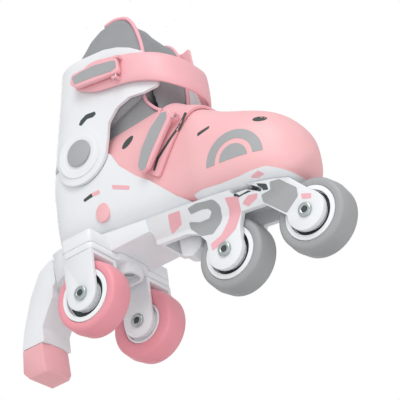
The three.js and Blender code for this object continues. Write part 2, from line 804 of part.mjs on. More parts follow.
add("heel_shell", heelShell(), white, boot);

// ---- Toe shell: the pink front half, which slides in the heel shell to change the size -------------
const innerStep = (x) => along([[49, shellThickness + shellGap], [60, 0.35]], x);
const toeRear = -54;
const throat = [
  [toeRear, 152, 4],
  [-38, 157],
  [-35.5, 175],
  [-34, 189, 3],
  [-24, 189.5],
  [-8, 188],
  [8, 187],
  [30, 188],
  [37, 197],
];
function toeShell() {
  const shell = cut(form(innerStep), form((x) => innerStep(x) + shellThickness));
  const keep = region([
    [toeRear, 60],
    [bootToe + 5, 60],
    [bootToe + 5, 230],
    [37.5, 230],
    ...[...throat].reverse(),
  ]);
  const vents = [
    ovalY([-3, 161], 3, -60, -15),
    ovalY([-3, 161], 3, 15, 60),
    slabY([[63, 131, 1.5], [77, 138, 1.5], [76, 141, 1.5], [62, 134.5, 1.5]], -60, -15),
    slabY([[63, 131, 1.5], [77, 138, 1.5], [76, 141, 1.5], [62, 134.5, 1.5]], 15, 60),
    barZ(4, 114, -15, 120, 170, 12),
    barZ(4, 114, 15, 120, 170, 12),
  ];
  const clearOfScrews = box(toeRear - 1, -10, -9, 9, 60, sole(toeRear) + 9);
  const [buttonX, buttonZ] = buttonPlace;
  const room = buttonSize + 2 + runningGap;
  const back = buttonX - sizeTravel - 4;
  const rise = (buttonX - back) * soleSlope;
  const buttonSlot = join(
    ovalY(buttonPlace, buttonSize + runningGap, -60, 0),
    slabY([
      [back, buttonZ - room],
      [buttonX, buttonZ - room],
      [buttonX, buttonZ + room],
      [back, buttonZ + room + rise],
    ], -60, 0),
  );
  return cut(shell.intersect(keep), ...vents, clearOfScrews, buttonSlot);
}
add("toe_shell", toeShell(), pink, boot);

// ---- Size button: pressed in to free the toe shell --------------------------------------------------
const buttonFace = -heelEarFace - 1.2;
function sizeButton() {
  const cap = ovalY(buttonPlace, buttonSize, buttonFace, buttonFace + buttonDepth - 2);
  const stem = ovalY(buttonPlace, buttonSize - 2.4, buttonFace + 2, buttonFace + buttonDepth);
  return join(cap, stem);
}
add("size_button", sizeButton(), pink, boot);

// ---- Liner foot and insole --------------------------------------------------------------------------
const linerInset = shellThickness + shellGap + shellThickness;
function linerFoot() {
  const outer = formShifted(linerInset + linerGap, linerInset + gap);
  const inner = formShifted(linerInset + linerGap + linerThickness, linerInset + gap + linerThickness);
  const below = region([
    [bootRear - 5, 40],
    [bootToe, 40],
    [bootToe, linerFootTop],
    [bootRear - 5, linerFootTop],
  ]);
  return cut(outer, inner).intersect(below);
}
// The form drawn in by one amount at the sides and another at the sole.
function formShifted(inset, floor) {
  return form(inset).translate([0, 0, floor - inset]);
}
add("liner_foot", linerFoot(), greyFabric, boot);
function insole() {
  const lift = linerInset + gap + linerThickness;
  const inside = formShifted(linerInset + linerGap + linerThickness + gap, lift + gap);
  const top = (x) => [x, sole(x) + lift + gap + insoleThickness];
  const low = (x) => [x, sole(x)];
  return inside.intersect(region([low(bootRear), low(bootToe), top(bootToe), top(bootRear)]));
}
add("insole", insole(), greyFabric, boot);

// ---- Cuff: the hinged upper shell --------------------------------------------------------------------
// Plan of the cuff at one height: a half-ellipse at the back and straight sides.
function cuffLoop(z, inset, turn = 18) {
  const lean = cuffLean * Math.max(0, z - 181);
  const rear = -104 + lean + inset;
  const half = cuffHalfWidth - inset;
  const depth = 40;
  const loop = [];
  for (let j = 0; j <= turn; j += 1) {
    const angle = Math.PI / 2 + (Math.PI * j) / turn;
    loop.push([rear + depth + depth * Math.cos(angle), half * Math.sin(angle), z]);
  }
  const taper = [[2, 0], [18, 1.4], [34, 5.5], [60, 16]];
  for (const [x, narrow] of taper) loop.push([x, -half + narrow, z]);
  for (const [x, narrow] of taper.reverse()) loop.push([x, half - narrow, z]);
  return loop;
}
const cuffHeights = [140, 181, 285];
const cuffForm = (inset) => loft(cuffHeights.map((z) => cuffLoop(z, inset)));
const cuffOutline = [
  [bootRear - 5, 181],
  [-86, 181],
  ...Array.from({ length: 13 }, (_, i) => {
    const angle = Math.PI * 1.02 + (Math.PI * 0.86 * i) / 12;
    return [cuffPivotX + cuffEarRadius * Math.cos(angle), cuffPivotZ + cuffEarRadius * Math.sin(angle)];
  }),
  [-24, 176],
  [-21, 191],
  [-10, 201.5],
  [4, 205, 3],
  [18, 203],
  [32, 205, 3],
  [33, 212, 3],
  [24, 244, 4],
  [11, 254],
  [-2, 261],
  [-16, 266],
  [-40, 269],
  [-70, 271],
  [bootRear - 5, 271],
];
function cuff() {
  const bosses = [-1, 1].map((side) => barY(
    cuffBossRadius, cuffPivotX, cuffPivotZ,
    Math.min(side * cuffInnerFace, side * cuffBossFace),
    Math.max(side * cuffInnerFace, side * cuffBossFace), 36,
  ));
  const inside = cuffForm(cuffThickness);
  const shell = cut(cuffForm(0), inside, inside.translate([0, 0, 3]), inside.translate([0, 0, -3]));
  const openEnds = region(cuffOutline);
  const frontCut = box(34, 90, -80, 80, 100, 300);
  const earRoom = barY(heelEarRadius + 8, cuffPivotX, cuffPivotZ, -cuffInnerFace, cuffInnerFace, 36);
  const rivetHole = barY(rivetRadius + gap, cuffPivotX, cuffPivotZ, -60, 60);
  const slotOutline = [
    [-53, 206, 1.5],
    [-44, 211.5, 4],
    [-38, 210, 1.5],
    [-38.5, 213.5, 1.5],
    [-46, 214.5, 3],
    [-54, 209, 1.5],
  ];
  const slots = [slabY(slotOutline, -60, -20), slabY(slotOutline, 20, 60)];
  const heelRoom = form(-runningGap).intersect(box(-200, 200, -80, 80, 0, 180.6));
  const body = cut(shell.intersect(openEnds), frontCut, heelRoom);
  return cut(join(body, ...bosses), earRoom, rivetHole, ...slots);
}
add("cuff", cuff(), white, boot);

for (const [name, side] of [["right", -1], ["left", 1]]) {
  const place = (a, b) => [Math.min(side * a, side * b), Math.max(side * a, side * b)];
  const inner = heelEarInner - gap;
  add(`cuff_rivet_${name}`, join(
    barY(rivetHeadRadius, cuffPivotX, cuffPivotZ, ...place(inner, inner - rivetHeadHeight)),
    barY(rivetRadius, cuffPivotX, cuffPivotZ, ...place(inner - 0.5, cuffBossFace - gap)),
  ), steel, boot);
  add(`cuff_badge_${name}`, barY(
    badgeRadius, cuffPivotX, cuffPivotZ,
    ...place(cuffBossFace + gap, cuffBossFace + gap + badgeThickness), 28,
  ), greyTrim, boot);
}

// ---- Upper liner, which leans with the cuff ----------------------------------------------------------
const linerUpperInset = cuffThickness + gap + 0.3;
function linerCuff() {
  const heights = [170, 181, 305];
  const outer = loft(heights.map((z) => cuffLoop(z, linerUpperInset)));
  const inner = loft(heights.map((z, i) => {
    const past = i === 0 ? -4 : i === heights.length - 1 ? 4 : 0;
    return cuffLoop(z + past, linerUpperInset + upperLinerThickness);
  }));
  const keep = region([
    [bootRear - 5, 182],
    [-85, 181],
    [-60, 184],
    [13, 206],
    [19, 222, 6],
    [20, 252, 8],
    [16, 275, 6],
    [9, 289, 6],
    [-8, 296, 10],
    [-40, 299, 10],
    [-71, 293, 10],
    [-84, 276, 6],
    [bootRear - 5, 262],
  ]);
  const ears = barY(cuffEarRadius + 1, cuffPivotX, cuffPivotZ, -60, 60, 32);
  return cut(cut(outer, inner).intersect(keep), ears);
}
add("liner_cuff", linerCuff(), greyFabric, boot);

// ---- Tongue: padded plate in front of the shin --------------------------------------------------------
const tongueHalf = 21;
// Front face and back face up the middle, the half width and how far the edges bend back.
const tongueRoot = linerFootTop + gap;
const tongueSpine = [
  [52, tongueRoot + 3.6, 49, tongueRoot, 9, 0],
  [44, tongueRoot + 7, 42, tongueRoot + 1.5, 14, 1],
  [36, tongueRoot + 13, 32, tongueRoot + 8, 18, 4],
  [31.5, 194, 26, 191.5, tongueHalf, 8],
  [30, 204, 24.5, 203, tongueHalf, 9],
  [27, 222, 21.5, 221, tongueHalf, 9],
  [24, 243, 18.5, 242, tongueHalf, 9],
  [20, 260, 14.5, 258.5, tongueHalf, 9],
  [13, 281, 7.5, 278.5, tongueHalf - 1, 9],
  [3, 298, -2, 295, tongueHalf - 6, 5],
];
function tongue() {
  const loops = tongueSpine.map(([x, z, backX, backZ, half, bow]) => {
    const front = [];
    const back = [];
    for (let j = -3; j <= 3; j += 1) {
      const share = j / 3;
      const bend = bow * share * share;
      front.push([x - bend, half * share, z - bend * 0.3]);
      back.unshift([backX - bend, half * share * 0.94, backZ - bend * 0.3]);
    }
    return [...front, ...back];
  });
  const plate = loft(loops);
  const overThroat = region([
    [-60, 330],
    [60, 330],
    [37, 200],
    [36.3, 197.3],
    [29.5, 188.8],
    [8, 188],
    [-60, 190],
  ]);
  const underShell = form(linerInset + gap);
  return join(plate.intersect(overThroat), plate.intersect(underShell));
}
add("tongue", tongue(), greyFabric, boot);

// ---- Cuff strap: the pink band round the shin, and its ratchet lever -----------------------------------
const strapY = cuffHalfWidth + strapStandOff;
const strapPath = [
  [-48, -strapY, 236, 251],
  [-30, -strapY - 0.6, 226, 257],
  [-10, -strapY - 0.8, 220.5, 253],
  [8, -strapY - 0.4, 217, 247.5],
  [22, -strapY + 1.2, 212, 242.5],
  [34, -strapY + 5.2, 207, 238.5],
  [43, -26, 202, 235.5],
  [49, -14, 199.5, 232.5],
  [50.5, 0, 198.5, 231.5],
  [49, 14, 199.5, 232.5],
  [43, 26, 202, 235.5],
  [34, strapY - 5.2, 207, 238.5],
  [22, strapY - 1.2, 212, 242.5],
  [8, strapY + 0.4, 217, 247.5],
  [-10, strapY + 0.8, 220.5, 251],
  [-34, strapY + 0.4, 226, 251],
];
function bandLoop(i, path, thickness) {
  const [x, y, low, high] = path[i];
  const before = path[Math.max(0, i - 1)];
  const after = path[Math.min(path.length - 1, i + 1)];
  const run = new THREE.Vector2(after[0] - before[0], after[1] - before[1]).normalize();
  const out = [run.y * thickness, -run.x * thickness];
  return [
    [x, y, low],
    [x + out[0], y + out[1], low],
    [x + out[0], y + out[1], high],
    [x, y, high],
  ];
}
// A ratchet lever lies along its strap, face outwards on the right side, and opens about a pin
// across one end. The pin runs through the lever and two lugs that stand on the strap.
const cuffLever = { pin: [1, 233], tail: [-46, 244], y: -strapY - 7.2, halfPin: 8.5, halfTail: 5.5 };
const instepLever = { pin: [43.5, 164.5], tail: [12, 125.5], y: -bootHalfWidth - 1.5, halfPin: 6.5, halfTail: 6 };
function leverAxes({ pin, tail }) {
  const run = new THREE.Vector3(tail[0] - pin[0], 0, tail[1] - pin[1]);
  const length = run.length();
  run.normalize();
  const across = new THREE.Vector3(-run.z, 0, run.x);
  return { run, across, length };
}
function leverBody(lever) {
  const { run, across, length } = leverAxes(lever);
  const reach = leverPinRadius + 1.1; // past the pin
  const loops = [];
  for (let i = 0; i <= 7; i += 1) {
    const t = i / 7;
    const s = -reach + (length + reach) * t;
    const half = lever.halfPin + (lever.halfTail - lever.halfPin) * t ** 2;
    const rise = 1.2 * Math.sin(Math.PI * t);
    const end = i === 0 ? 0.7 : 0;
    const at = (side, lift) => [
      lever.pin[0] + run.x * s + across.x * half * side,
      lever.y + leverThickness / 2 - rise - lift,
      lever.pin[1] + run.z * s + across.z * half * side,
    ];
    loops.push([at(-1, end), at(1, end), at(0.86, leverThickness - end), at(-0.86, leverThickness - end)]);
  }
  return cut(loft(loops), leverPin(lever, leverPinRadius + gap, 30));
}
function leverPin(lever, radius, half) {
  const { across } = leverAxes(lever);
  const bar = new THREE.CylinderGeometry(radius, radius, 2 * half, 12);
  bar.applyQuaternion(new THREE.Quaternion().setFromUnitVectors(new THREE.Vector3(0, 1, 0), across));
  return solid(bar.translate(lever.pin[0], lever.y, lever.pin[1]));
}
function lugs(lever, root) {
  const { run, across } = leverAxes(lever);
  const turn = new THREE.Matrix4().makeBasis(run, new THREE.Vector3(0, 1, 0), across);
  const reach = leverPinRadius + 1.5;
  const blocks = [-1, 1].map((side) => {
    const low = lever.y - reach;
    const block = new THREE.BoxGeometry(2 * reach, root - low, lugThickness);
    block.translate(0, (root + low) / 2, side * (lever.halfPin + gap + lugThickness / 2));
    block.applyMatrix4(turn);
    return solid(block.translate(lever.pin[0], 0, lever.pin[1]));
  });
  return cut(join(...blocks), leverPin(lever, leverPinRadius + gap, 30));
}
function pinThrough(lever) {
  return leverPin(lever, leverPinRadius, lever.halfPin + gap + lugThickness + 0.4);
}

// The band's loose end stands up on the left side as a thumb tab.
function cuffStrap() {
  const band = loft(strapPath.map((_, i) => bandLoop(i, strapPath, strapThickness)));
  const tabInner = strapY - 0.8;
  const tab = slabY([
    [-2, 240],
    [-1, 283, 4],
    [8, 286, 5],
    [20, 278, 5],
    [24, 268, 5],
    [21, 238],
  ], tabInner, tabInner + strapThickness);
  return join(band, tab, lugs(cuffLever, -strapY - 2));
}
add("cuff_strap", cuffStrap(), pink, boot);
add("cuff_buckle_lever", leverBody(cuffLever), pink, boot);
add("cuff_buckle_pin", pinThrough(cuffLever), steel, boot);

// ---- Instep strap: a band over the instep, with its lever on the right side ------------------------------
function instepStrap() {
  const over = (lift) => form((x) => innerStep(x) - lift, 24);
  const band = cut(over(strapLift + strapThickness), over(strapLift));
  const slanted = region([
    [4, 131],
    [22, 114],
    [66, 172],
    [66, 230],
    [34.5, 230],
    [34.5, 190],
    [26, 180],
  ]);
  const feet = cut(lugs(instepLever, -28), over(strapLift));
  return join(band.intersect(slanted), feet);
}
add("instep_strap", instepStrap(), pink, boot);
add("instep_buckle_lever", leverBody(instepLever), pink, boot);
add("instep_buckle_pin", pinThrough(instepLever), steel, boot);

export default skate;
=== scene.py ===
import math

import bmesh
import bpy
import numpy as np
from mathutils import Matrix, Vector
from mathutils.bvhtree import BVHTree


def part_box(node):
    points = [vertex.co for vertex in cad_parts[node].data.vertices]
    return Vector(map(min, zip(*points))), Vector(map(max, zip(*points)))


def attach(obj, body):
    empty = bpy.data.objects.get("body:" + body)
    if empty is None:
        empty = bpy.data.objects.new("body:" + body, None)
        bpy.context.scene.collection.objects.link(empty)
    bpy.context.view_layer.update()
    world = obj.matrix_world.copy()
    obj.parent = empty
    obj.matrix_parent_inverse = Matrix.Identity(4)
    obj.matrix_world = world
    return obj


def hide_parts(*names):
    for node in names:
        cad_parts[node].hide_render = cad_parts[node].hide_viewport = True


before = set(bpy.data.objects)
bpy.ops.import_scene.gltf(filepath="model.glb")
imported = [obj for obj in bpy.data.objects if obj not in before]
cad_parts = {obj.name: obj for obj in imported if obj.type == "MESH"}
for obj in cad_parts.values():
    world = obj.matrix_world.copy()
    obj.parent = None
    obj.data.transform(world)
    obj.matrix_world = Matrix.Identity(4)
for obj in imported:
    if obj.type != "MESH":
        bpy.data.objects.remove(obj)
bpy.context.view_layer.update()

# ==================================================================================================
# Wheels. Each is a cast polyurethane tyre on a white nylon hub, with a steel bearing pressed into
# each side of the hub and a steel cap bolt and nut through the middle. The two front wheels are
# grey and the two rear ones pink.
# ==================================================================================================
tyre_low, tyre_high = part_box("front_wheel_tyre")
wheel_radius = (tyre_high.z - tyre_low.z) / 2
datum_x = (tyre_low.x + tyre_high.x) / 2 - 0.1431


def at(x, y, z):
    """A point of the skate's own drawing, in millimetres, as a place in the frame."""
    return Vector((datum_x + x / 1000, y / 1000, z / 1000))


def tint(red, green, blue):
    """A paint colour given as 0-255 values."""
    def linear(value):
        value /= 255
        return value / 12.92 if value <= 0.04045 else ((value + 0.055) / 1.055) ** 2.4
    return (linear(red), linear(green), linear(blue), 1.0)


def effect_group(name, inputs, outputs):
    """An empty shader node group with these sockets, and its input and output nodes."""
    group = bpy.data.node_groups.new(name, "ShaderNodeTree")
    for label, kind, value in inputs:
        socket = group.interface.new_socket(label, in_out="INPUT", socket_type=kind)
        socket.default_value = value
    for label, kind in outputs:
        group.interface.new_socket(label, in_out="OUTPUT", socket_type=kind)
    nodes = group.nodes
    return group, nodes, group.links, nodes.new("NodeGroupInput"), nodes.new("NodeGroupOutput")


def moulded_skin_group():
    """Moulded plastic: faint cloudy tone, fine grain, and slow swells that soften highlights."""
    group, nodes, links, given, out = effect_group(
        "moulded_skin",
        [
            ("Colour", "NodeSocketColor", (0.8, 0.8, 0.8, 1)),
            ("Shade", "NodeSocketColor", (0.7, 0.7, 0.7, 1)),
            ("Roughness", "NodeSocketFloat", 0.4),
            ("Grain scale", "NodeSocketFloat", 900.0),
        ],
        [
            ("Colour", "NodeSocketColor"),
            ("Roughness", "NodeSocketFloat"),
            ("Height", "NodeSocketFloat"),
        ],
    )
    place = nodes.new("ShaderNodeTexCoord")
    cloud = nodes.new("ShaderNodeTexNoise")
    cloud.inputs["Scale"].default_value = 26
    cloud.inputs["Detail"].default_value = 3
    links.new(place.outputs["Object"], cloud.inputs["Vector"])
    spread = nodes.new("ShaderNodeMapRange")
    spread.inputs["From Min"].default_value = 0.38
    spread.inputs["From Max"].default_value = 0.72
    spread.inputs["To Max"].default_value = 0.55
    links.new(cloud.outputs["Fac"], spread.inputs["Value"])
    mix = nodes.new("ShaderNodeMix")
    mix.data_type = "RGBA"
    links.new(spread.outputs["Result"], mix.inputs["Factor"])
    links.new(given.outputs["Colour"], mix.inputs["A"])
    links.new(given.outputs["Shade"], mix.inputs["B"])
    links.new(mix.outputs["Result"], out.inputs["Colour"])
    grain = nodes.new("ShaderNodeTexNoise")
    grain.inputs["Detail"].default_value = 2
    links.new(place.outputs["Object"], grain.inputs["Vector"])
    links.new(given.outputs["Grain scale"], grain.inputs["Scale"])
    links.new(grain.outputs["Fac"], out.inputs["Height"])
    vary = nodes.new("ShaderNodeMath")
    vary.operation = "MULTIPLY_ADD"
    vary.inputs[1].default_value = 0.12
    links.new(cloud.outputs["Fac"], vary.inputs[0])
    links.new(given.outputs["Roughness"], vary.inputs[2])
    links.new(vary.outputs["Value"], out.inputs["Roughness"])
    return group


moulded_skin = moulded_skin_group()


def surface_material(name, group, values, bump, **fixed):
    """A material whose colour, roughness and bump come from an effect group."""
    material = bpy.data.materials.new(name)
    material.use_nodes = True
    nodes = material.node_tree.nodes
    links = material.node_tree.links
    shader = nodes["Principled BSDF"]
    effect = nodes.new("ShaderNodeGroup")
    effect.node_tree = group
    for label, value in values.items():
        effect.inputs[label].default_value = value
    links.new(effect.outputs["Colour"], shader.inputs["Base Color"])
    links.new(effect.outputs["Roughness"], shader.inputs["Roughness"])
    relief = nodes.new("ShaderNodeBump")
    relief.inputs["Strength"].default_value = bump
    relief.inputs["Distance"].default_value = 0.0004
    links.new(effect.outputs["Height"], relief.inputs["Height"])
    links.new(relief.outputs["Normal"], shader.inputs["Normal"])
    for label, value in fixed.items():
        shader.inputs[label.replace("_", " ")].default_value = value
    return material


def plastic(name, colour, shade, roughness, bump=0.12, grain=900.0, **fixed):
    values = {"Colour": colour, "Shade": shade, "Roughness": roughness, "Grain scale": grain}
    return surface_material(name, moulded_skin, values, bump, **fixed)


grey_tyre = plastic("grey_tyre", tint(163, 165, 166), tint(155, 157, 158), 0.42)
pink_tyre = plastic("pink_tyre", tint(236, 154, 165), tint(230, 144, 156), 0.36)
white_nylon = plastic("white_nylon", tint(242, 243, 245), tint(235, 237, 239), 0.34, 0.06)
bearing_steel = plastic("bearing_steel", tint(196, 199, 203), tint(180, 183, 188), 0.24, 0.1,
                        2200.0, Metallic=1.0)
bolt_steel = plastic("bolt_steel", tint(190, 200, 198), tint(160, 172, 170), 0.26, 0.12,
                     1800.0, Metallic=1.0)
# Dark grey painted shade: the shadow ring on each hub's web and the dark hex in each bolt socket.
socket_painted_shade = plastic("socket_painted_shade", tint(62, 70, 72), tint(48, 54, 56), 0.5)


def finish_piece(name, bm, body, material, stands_for=(), bevel=0.0, segments=2,
                 sharp=40, smooth_level=0):
    """The bmesh as a finished object that rides on its body."""
    bmesh.ops.recalc_face_normals(bm, faces=bm.faces)
    mesh = bpy.data.meshes.new(name)
    bm.to_mesh(mesh)
    bm.free()
    mesh.materials.append(material)
    mesh.shade_smooth()
    thing = bpy.data.objects.new(name, mesh)
    bpy.context.collection.objects.link(thing)
    if bevel:
        edge = thing.modifiers.new("edge", "BEVEL")
        edge.width = bevel / 1000
        edge.segments = segments
        edge.limit_method = "ANGLE"
        edge.angle_limit = math.radians(sharp)
        edge.harden_normals = True
    else:
        mesh.set_sharp_from_angle(angle=math.radians(sharp))
    if smooth_level:
        soft = thing.modifiers.new("soft", "SUBSURF")
        soft.levels = smooth_level
        soft.render_levels = smooth_level
    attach(thing, body)
    if stands_for:
        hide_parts(*stands_for)
    return thing


def spun(profile, centre, steps=72):
    """A closed profile of [radius, place along Y] points, turned about the Y line at centre."""
    bm = bmesh.new()
    corners = [bm.verts.new(centre + Vector((r / 1000, y / 1000, 0))) for r, y in profile]
    edges = [bm.edges.new((corners[i - 1], corners[i])) for i in range(len(corners))]
    bmesh.ops.spin(bm, geom=corners + edges, cent=centre, axis=(0, 1, 0), angle=math.tau,
                   steps=steps, use_merge=True)
    bmesh.ops.remove_doubles(bm, verts=bm.verts, dist=1e-6)
    bmesh.ops.recalc_face_normals(bm, faces=bm.faces)
    return bm


def arc(centre, radius, start, end, steps):
    """Points round part of a circle, for the rounded corners of a profile."""
    turn = [math.radians(start + (end - start) * i / steps) for i in range(steps + 1)]
    return [(centre[0] + radius * math.cos(a), centre[1] + radius * math.sin(a)) for a in turn]


def build_wheel(wheel, body, fork_body, material):
    low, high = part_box(f"{wheel}_tyre")
    middle = (low + high) / 2
    rim_low, rim_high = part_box(f"{wheel}_hub")
    side = -1 if (rim_low.y + rim_high.y) / 2 < middle.y else 1
    radius = wheel_radius * 1000
    crown = [
        (23.7, -11.6), (24.3, -12.0), (26.6, -12.0), *arc((27.0, -7.6), 4.4, -90, -32, 5),
        (31.5, -3.4), (radius, 0), (31.5, 3.4), *arc((27.0, 7.6), 4.4, 32, 90, 5),
        (26.6, 12.0), (19.4, 12.0), (18.8, 11.4), (18.8, -7.9), (23.7, -7.9),
    ]
    turned = spun([(r, -side * y) for r, y in crown], middle, 96)
    finish_piece(f"{wheel}_tyre_cast", turned, body, material, [f"{wheel}_tyre"], sharp=50)
    hub = [
        (8.4, -4.2), (11.3, -4.2), (11.3, -11.2), (11.7, -11.5), (13.3, -11.5), (13.7, -11.1),
        (13.7, -8.4), (14.4, -7.8), (18.4, -7.8), (19.1, -8.4), (19.1, -12.2), (19.5, -12.6),
        (22.8, -12.6), (23.3, -12.1), (23.3, -8.3), (18.5, -8.3), (18.5, 10.9), (18.2, 11.2),
        (16.8, 11.2), (16.4, 10.8), (16.4, 8.2), (13.7, 8.0), (13.7, 11.1), (13.3, 11.5),
        (11.7, 11.5), (11.3, 11.2), (11.3, 4.2), (8.4, 4.2),
    ]
    turned = spun([(r, -side * y) for r, y in hub], middle, 72)
    finish_piece(f"{wheel}_hub_moulded", turned, body, white_nylon,
                 [f"{wheel}_hub"], sharp=30)
    # A dark ring on the hub's web is painted shadow. It stands in for the shaded gap between the fork
    # leg's end and the hub rim.
    shade = [(14.0, -7.7), (18.95, -7.7), (18.95, -8.15), (14.0, -8.15)]
    turned = spun([(r, -side * y) for r, y in shade], middle, 72)
    finish_piece(f"{wheel}_hub_painted_shadow", turned, body, socket_painted_shade, sharp=30)
    for place in ("outer", "inner"):
        node = f"{wheel}_bearing_{place}"
        near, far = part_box(node)
        centre = (near + far) / 2
        shield = [
            (4.0, -3.5), (5.6, -3.5), (6.0, -3.1), (9.1, -3.1), (9.5, -3.5), (10.7, -3.5),
            (11.0, -3.2), (11.0, 3.2), (10.7, 3.5), (9.5, 3.5), (9.1, 3.1), (6.0, 3.1),
            (5.6, 3.5), (4.0, 3.5),
        ]
        finish_piece(f"{node}_shielded", spun(shield, centre, 48), body,
                     bearing_steel, [node], sharp=30)
    for part in ("axle_bolt", "axle_nut"):
        node = f"{wheel}_{part}"
        near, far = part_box(node)
        head_side = side if part == "axle_bolt" else -side
        face = near.y if head_side < 0 else far.y
        inner = (far.y if head_side < 0 else near.y)
        length = abs(face - inner) * 1000
        centre = Vector((middle.x, face, middle.z))
        inwards = -head_side
        profile = [
            (0.0, 1.5), (2.5, 1.5), (2.9, 0.5), (3.6, 0.05), (5.0, 0.0), (5.9, 0.5),
            (6.2, 1.1), (6.2, 2.1), (3.7, 2.1), (3.7, length), (0.0, length),
        ]
        bm = spun([(r, inwards * y) for r, y in profile], centre, 36)
        finish_piece(f"{node}_capped", bm, fork_body, bolt_steel, [node], sharp=35)
        # The dark hex plug in the head's recess is painted shade. It stands in for the shadow inside
        # the hex socket.
        socket = bmesh.new()
        bmesh.ops.create_circle(socket, cap_ends=True, segments=6, radius=0.0026)
        bmesh.ops.rotate(socket, verts=socket.verts, cent=(0, 0, 0),
                         matrix=Matrix.Rotation(math.radians(90), 3, "X"))
        bmesh.ops.translate(socket, verts=socket.verts,
                            vec=centre + Vector((0, inwards * 0.0013, 0)))
        rim = bmesh.ops.extrude_face_region(socket, geom=socket.faces[:])
        moved = [v for v in rim["geom"] if isinstance(v, bmesh.types.BMVert)]
        bmesh.ops.translate(socket, verts=moved, vec=(0, -inwards * 0.0008, 0))
        bmesh.ops.inset_region(socket, faces=[f for f in socket.faces
                                              if abs(f.normal.y) > 0.9], thickness=0.0004)
        finish_piece(f"{node}_socket", socket, fork_body, socket_painted_shade, sharp=30)


build_wheel("front_wheel", "front_wheel", "base", grey_tyre)
build_wheel("middle_wheel", "middle_wheel", "base", grey_tyre)
build_wheel("rear_right_wheel", "rear_right_wheel", "fork_right", pink_tyre)
build_wheel("rear_left_wheel", "rear_left_wheel", "fork_left", pink_tyre)

# ==================================================================================================
# Rear forks and swivel block. White glass-filled nylon mouldings with rounded edges, turning on
# zinc-plated steel pins; the block hangs from the chassis on the kingpin.
# ==================================================================================================
white_shell = plastic("white_shell", tint(233, 235, 238), tint(226, 229, 232), 0.33, 0.08)


def softened_copy(node, width, body, material, name=None, segments=2):
    """A CAD solid with its moulded edges rounded off."""
    bm = bmesh.new()
    bm.from_mesh(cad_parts[node].data)
    bmesh.ops.remove_doubles(bm, verts=bm.verts, dist=2e-6)
    bmesh.ops.dissolve_limit(bm, angle_limit=math.radians(0.6), verts=bm.verts, edges=bm.edges)
    return finish_piece(name or f"{node}_rounded", bm, body, material, [node], width,
                        segments, 32)


for side in ("right", "left"):
    softened_copy(f"fork_{side}", 0.7, f"fork_{side}", white_shell)
    softened_copy(f"fork_pin_{side}", 0.3, "swivel", bolt_steel)
softened_copy("swivel_block", 0.8, "swivel", white_shell)
softened_copy("kingpin_nut", 0.4, "base", bolt_steel)
softened_copy("kingpin", 0.4, "base", bolt_steel)
softened_copy("lock_pin", 0.4, "lock_pin", bolt_steel)

# ==================================================================================================
# Chassis. One white moulding: a turntable block under the heel, two outriggers over the rear forks,
# and an inline channel for the front wheels, with grey and pink printed panels on both flanks.
# ==================================================================================================
chassis = softened_copy("chassis", 0.6, "base", white_shell)
grey_print = plastic("grey_print", tint(163, 165, 167), tint(157, 159, 161), 0.45)
pink_print = plastic("pink_print", tint(238, 178, 186), tint(234, 170, 179), 0.42)
# Near-black painted shade, laid as thin panels where slots, vents and the instep strap's edge lie in
# shadow.
recess_painted_shade = plastic("recess_painted_shade", tint(66, 76, 74), tint(50, 58, 57), 0.6)


def surface_tree(thing):
    """A search tree over a finished object's surface."""
    graph = bpy.context.evaluated_depsgraph_get()
    bpy.context.view_layer.update()
    return BVHTree.FromObject(thing, graph)


def rounded(points, steps=5):
    """An outline of [x, z, corner radius] points with its corners rounded."""
    out = []
    for i, (x, z, *radius) in enumerate(points):
        corner = Vector((x, z))
        if not radius:
            out.append(corner)
            continue
        before = Vector(points[i - 1][:2]) - corner
        after = Vector(points[(i + 1) % len(points)][:2]) - corner
        half = before.angle(after) / 2
        reach = min(radius[0] / math.tan(half), before.length * 0.48, after.length * 0.48)
        start = corner + before.normalized() * reach
        end = corner + after.normalized() * reach
        for k in range(steps + 1):
            t = k / steps
            out.append(start * (1 - t) ** 2 + corner * 2 * t * (1 - t) + end * t * t)
    return out


def print_and_shade_panel(name, outline, side, tree, body, material, lift=0.25, cell=3.0,
                  least=0):
    """A thin panel with this outline in X and Z, laid on the surface that faces that side, and no
    nearer the middle than least: a printed mark, or in near-black a patch of painted shade."""
    bm = bmesh.new()
    bm.faces.new([bm.verts.new(at(p[0], 0, p[1])) for p in rounded(outline)])
    xs = [v.co.x for v in bm.verts]
    zs = [v.co.z for v in bm.verts]
    for low, high, normal in ((min(xs), max(xs), (1, 0, 0)), (min(zs), max(zs), (0, 0, 1))):
        count = int((high - low) / (cell / 1000))
        for i in range(1, count + 1):
            cut = low + (high - low) * i / (count + 1)
            bmesh.ops.bisect_plane(bm, geom=bm.verts[:] + bm.edges[:] + bm.faces[:], dist=1e-7,
                                   plane_co=Vector(normal) * cut, plane_no=normal)
    bmesh.ops.triangulate(bm, faces=bm.faces)
    lost = []
    for v in bm.verts:
        hit = tree.ray_cast(Vector((v.co.x, side * 0.2, v.co.z)), Vector((0, -side, 0)))[0]
        if hit is None:
            lost.append(v)
        else:
            v.co.y = side * max(abs(hit.y), least / 1000) + side * lift / 1000
    bmesh.ops.delete(bm, geom=lost, context="VERTS")
    skin = bmesh.ops.extrude_face_region(bm, geom=bm.faces[:])
    moved = [v for v in skin["geom"] if isinstance(v, bmesh.types.BMVert)]
    bmesh.ops.translate(bm, verts=moved, vec=(0, -side * (lift + 0.5) / 1000, 0))
    return finish_piece(name, bm, body, material, sharp=50)


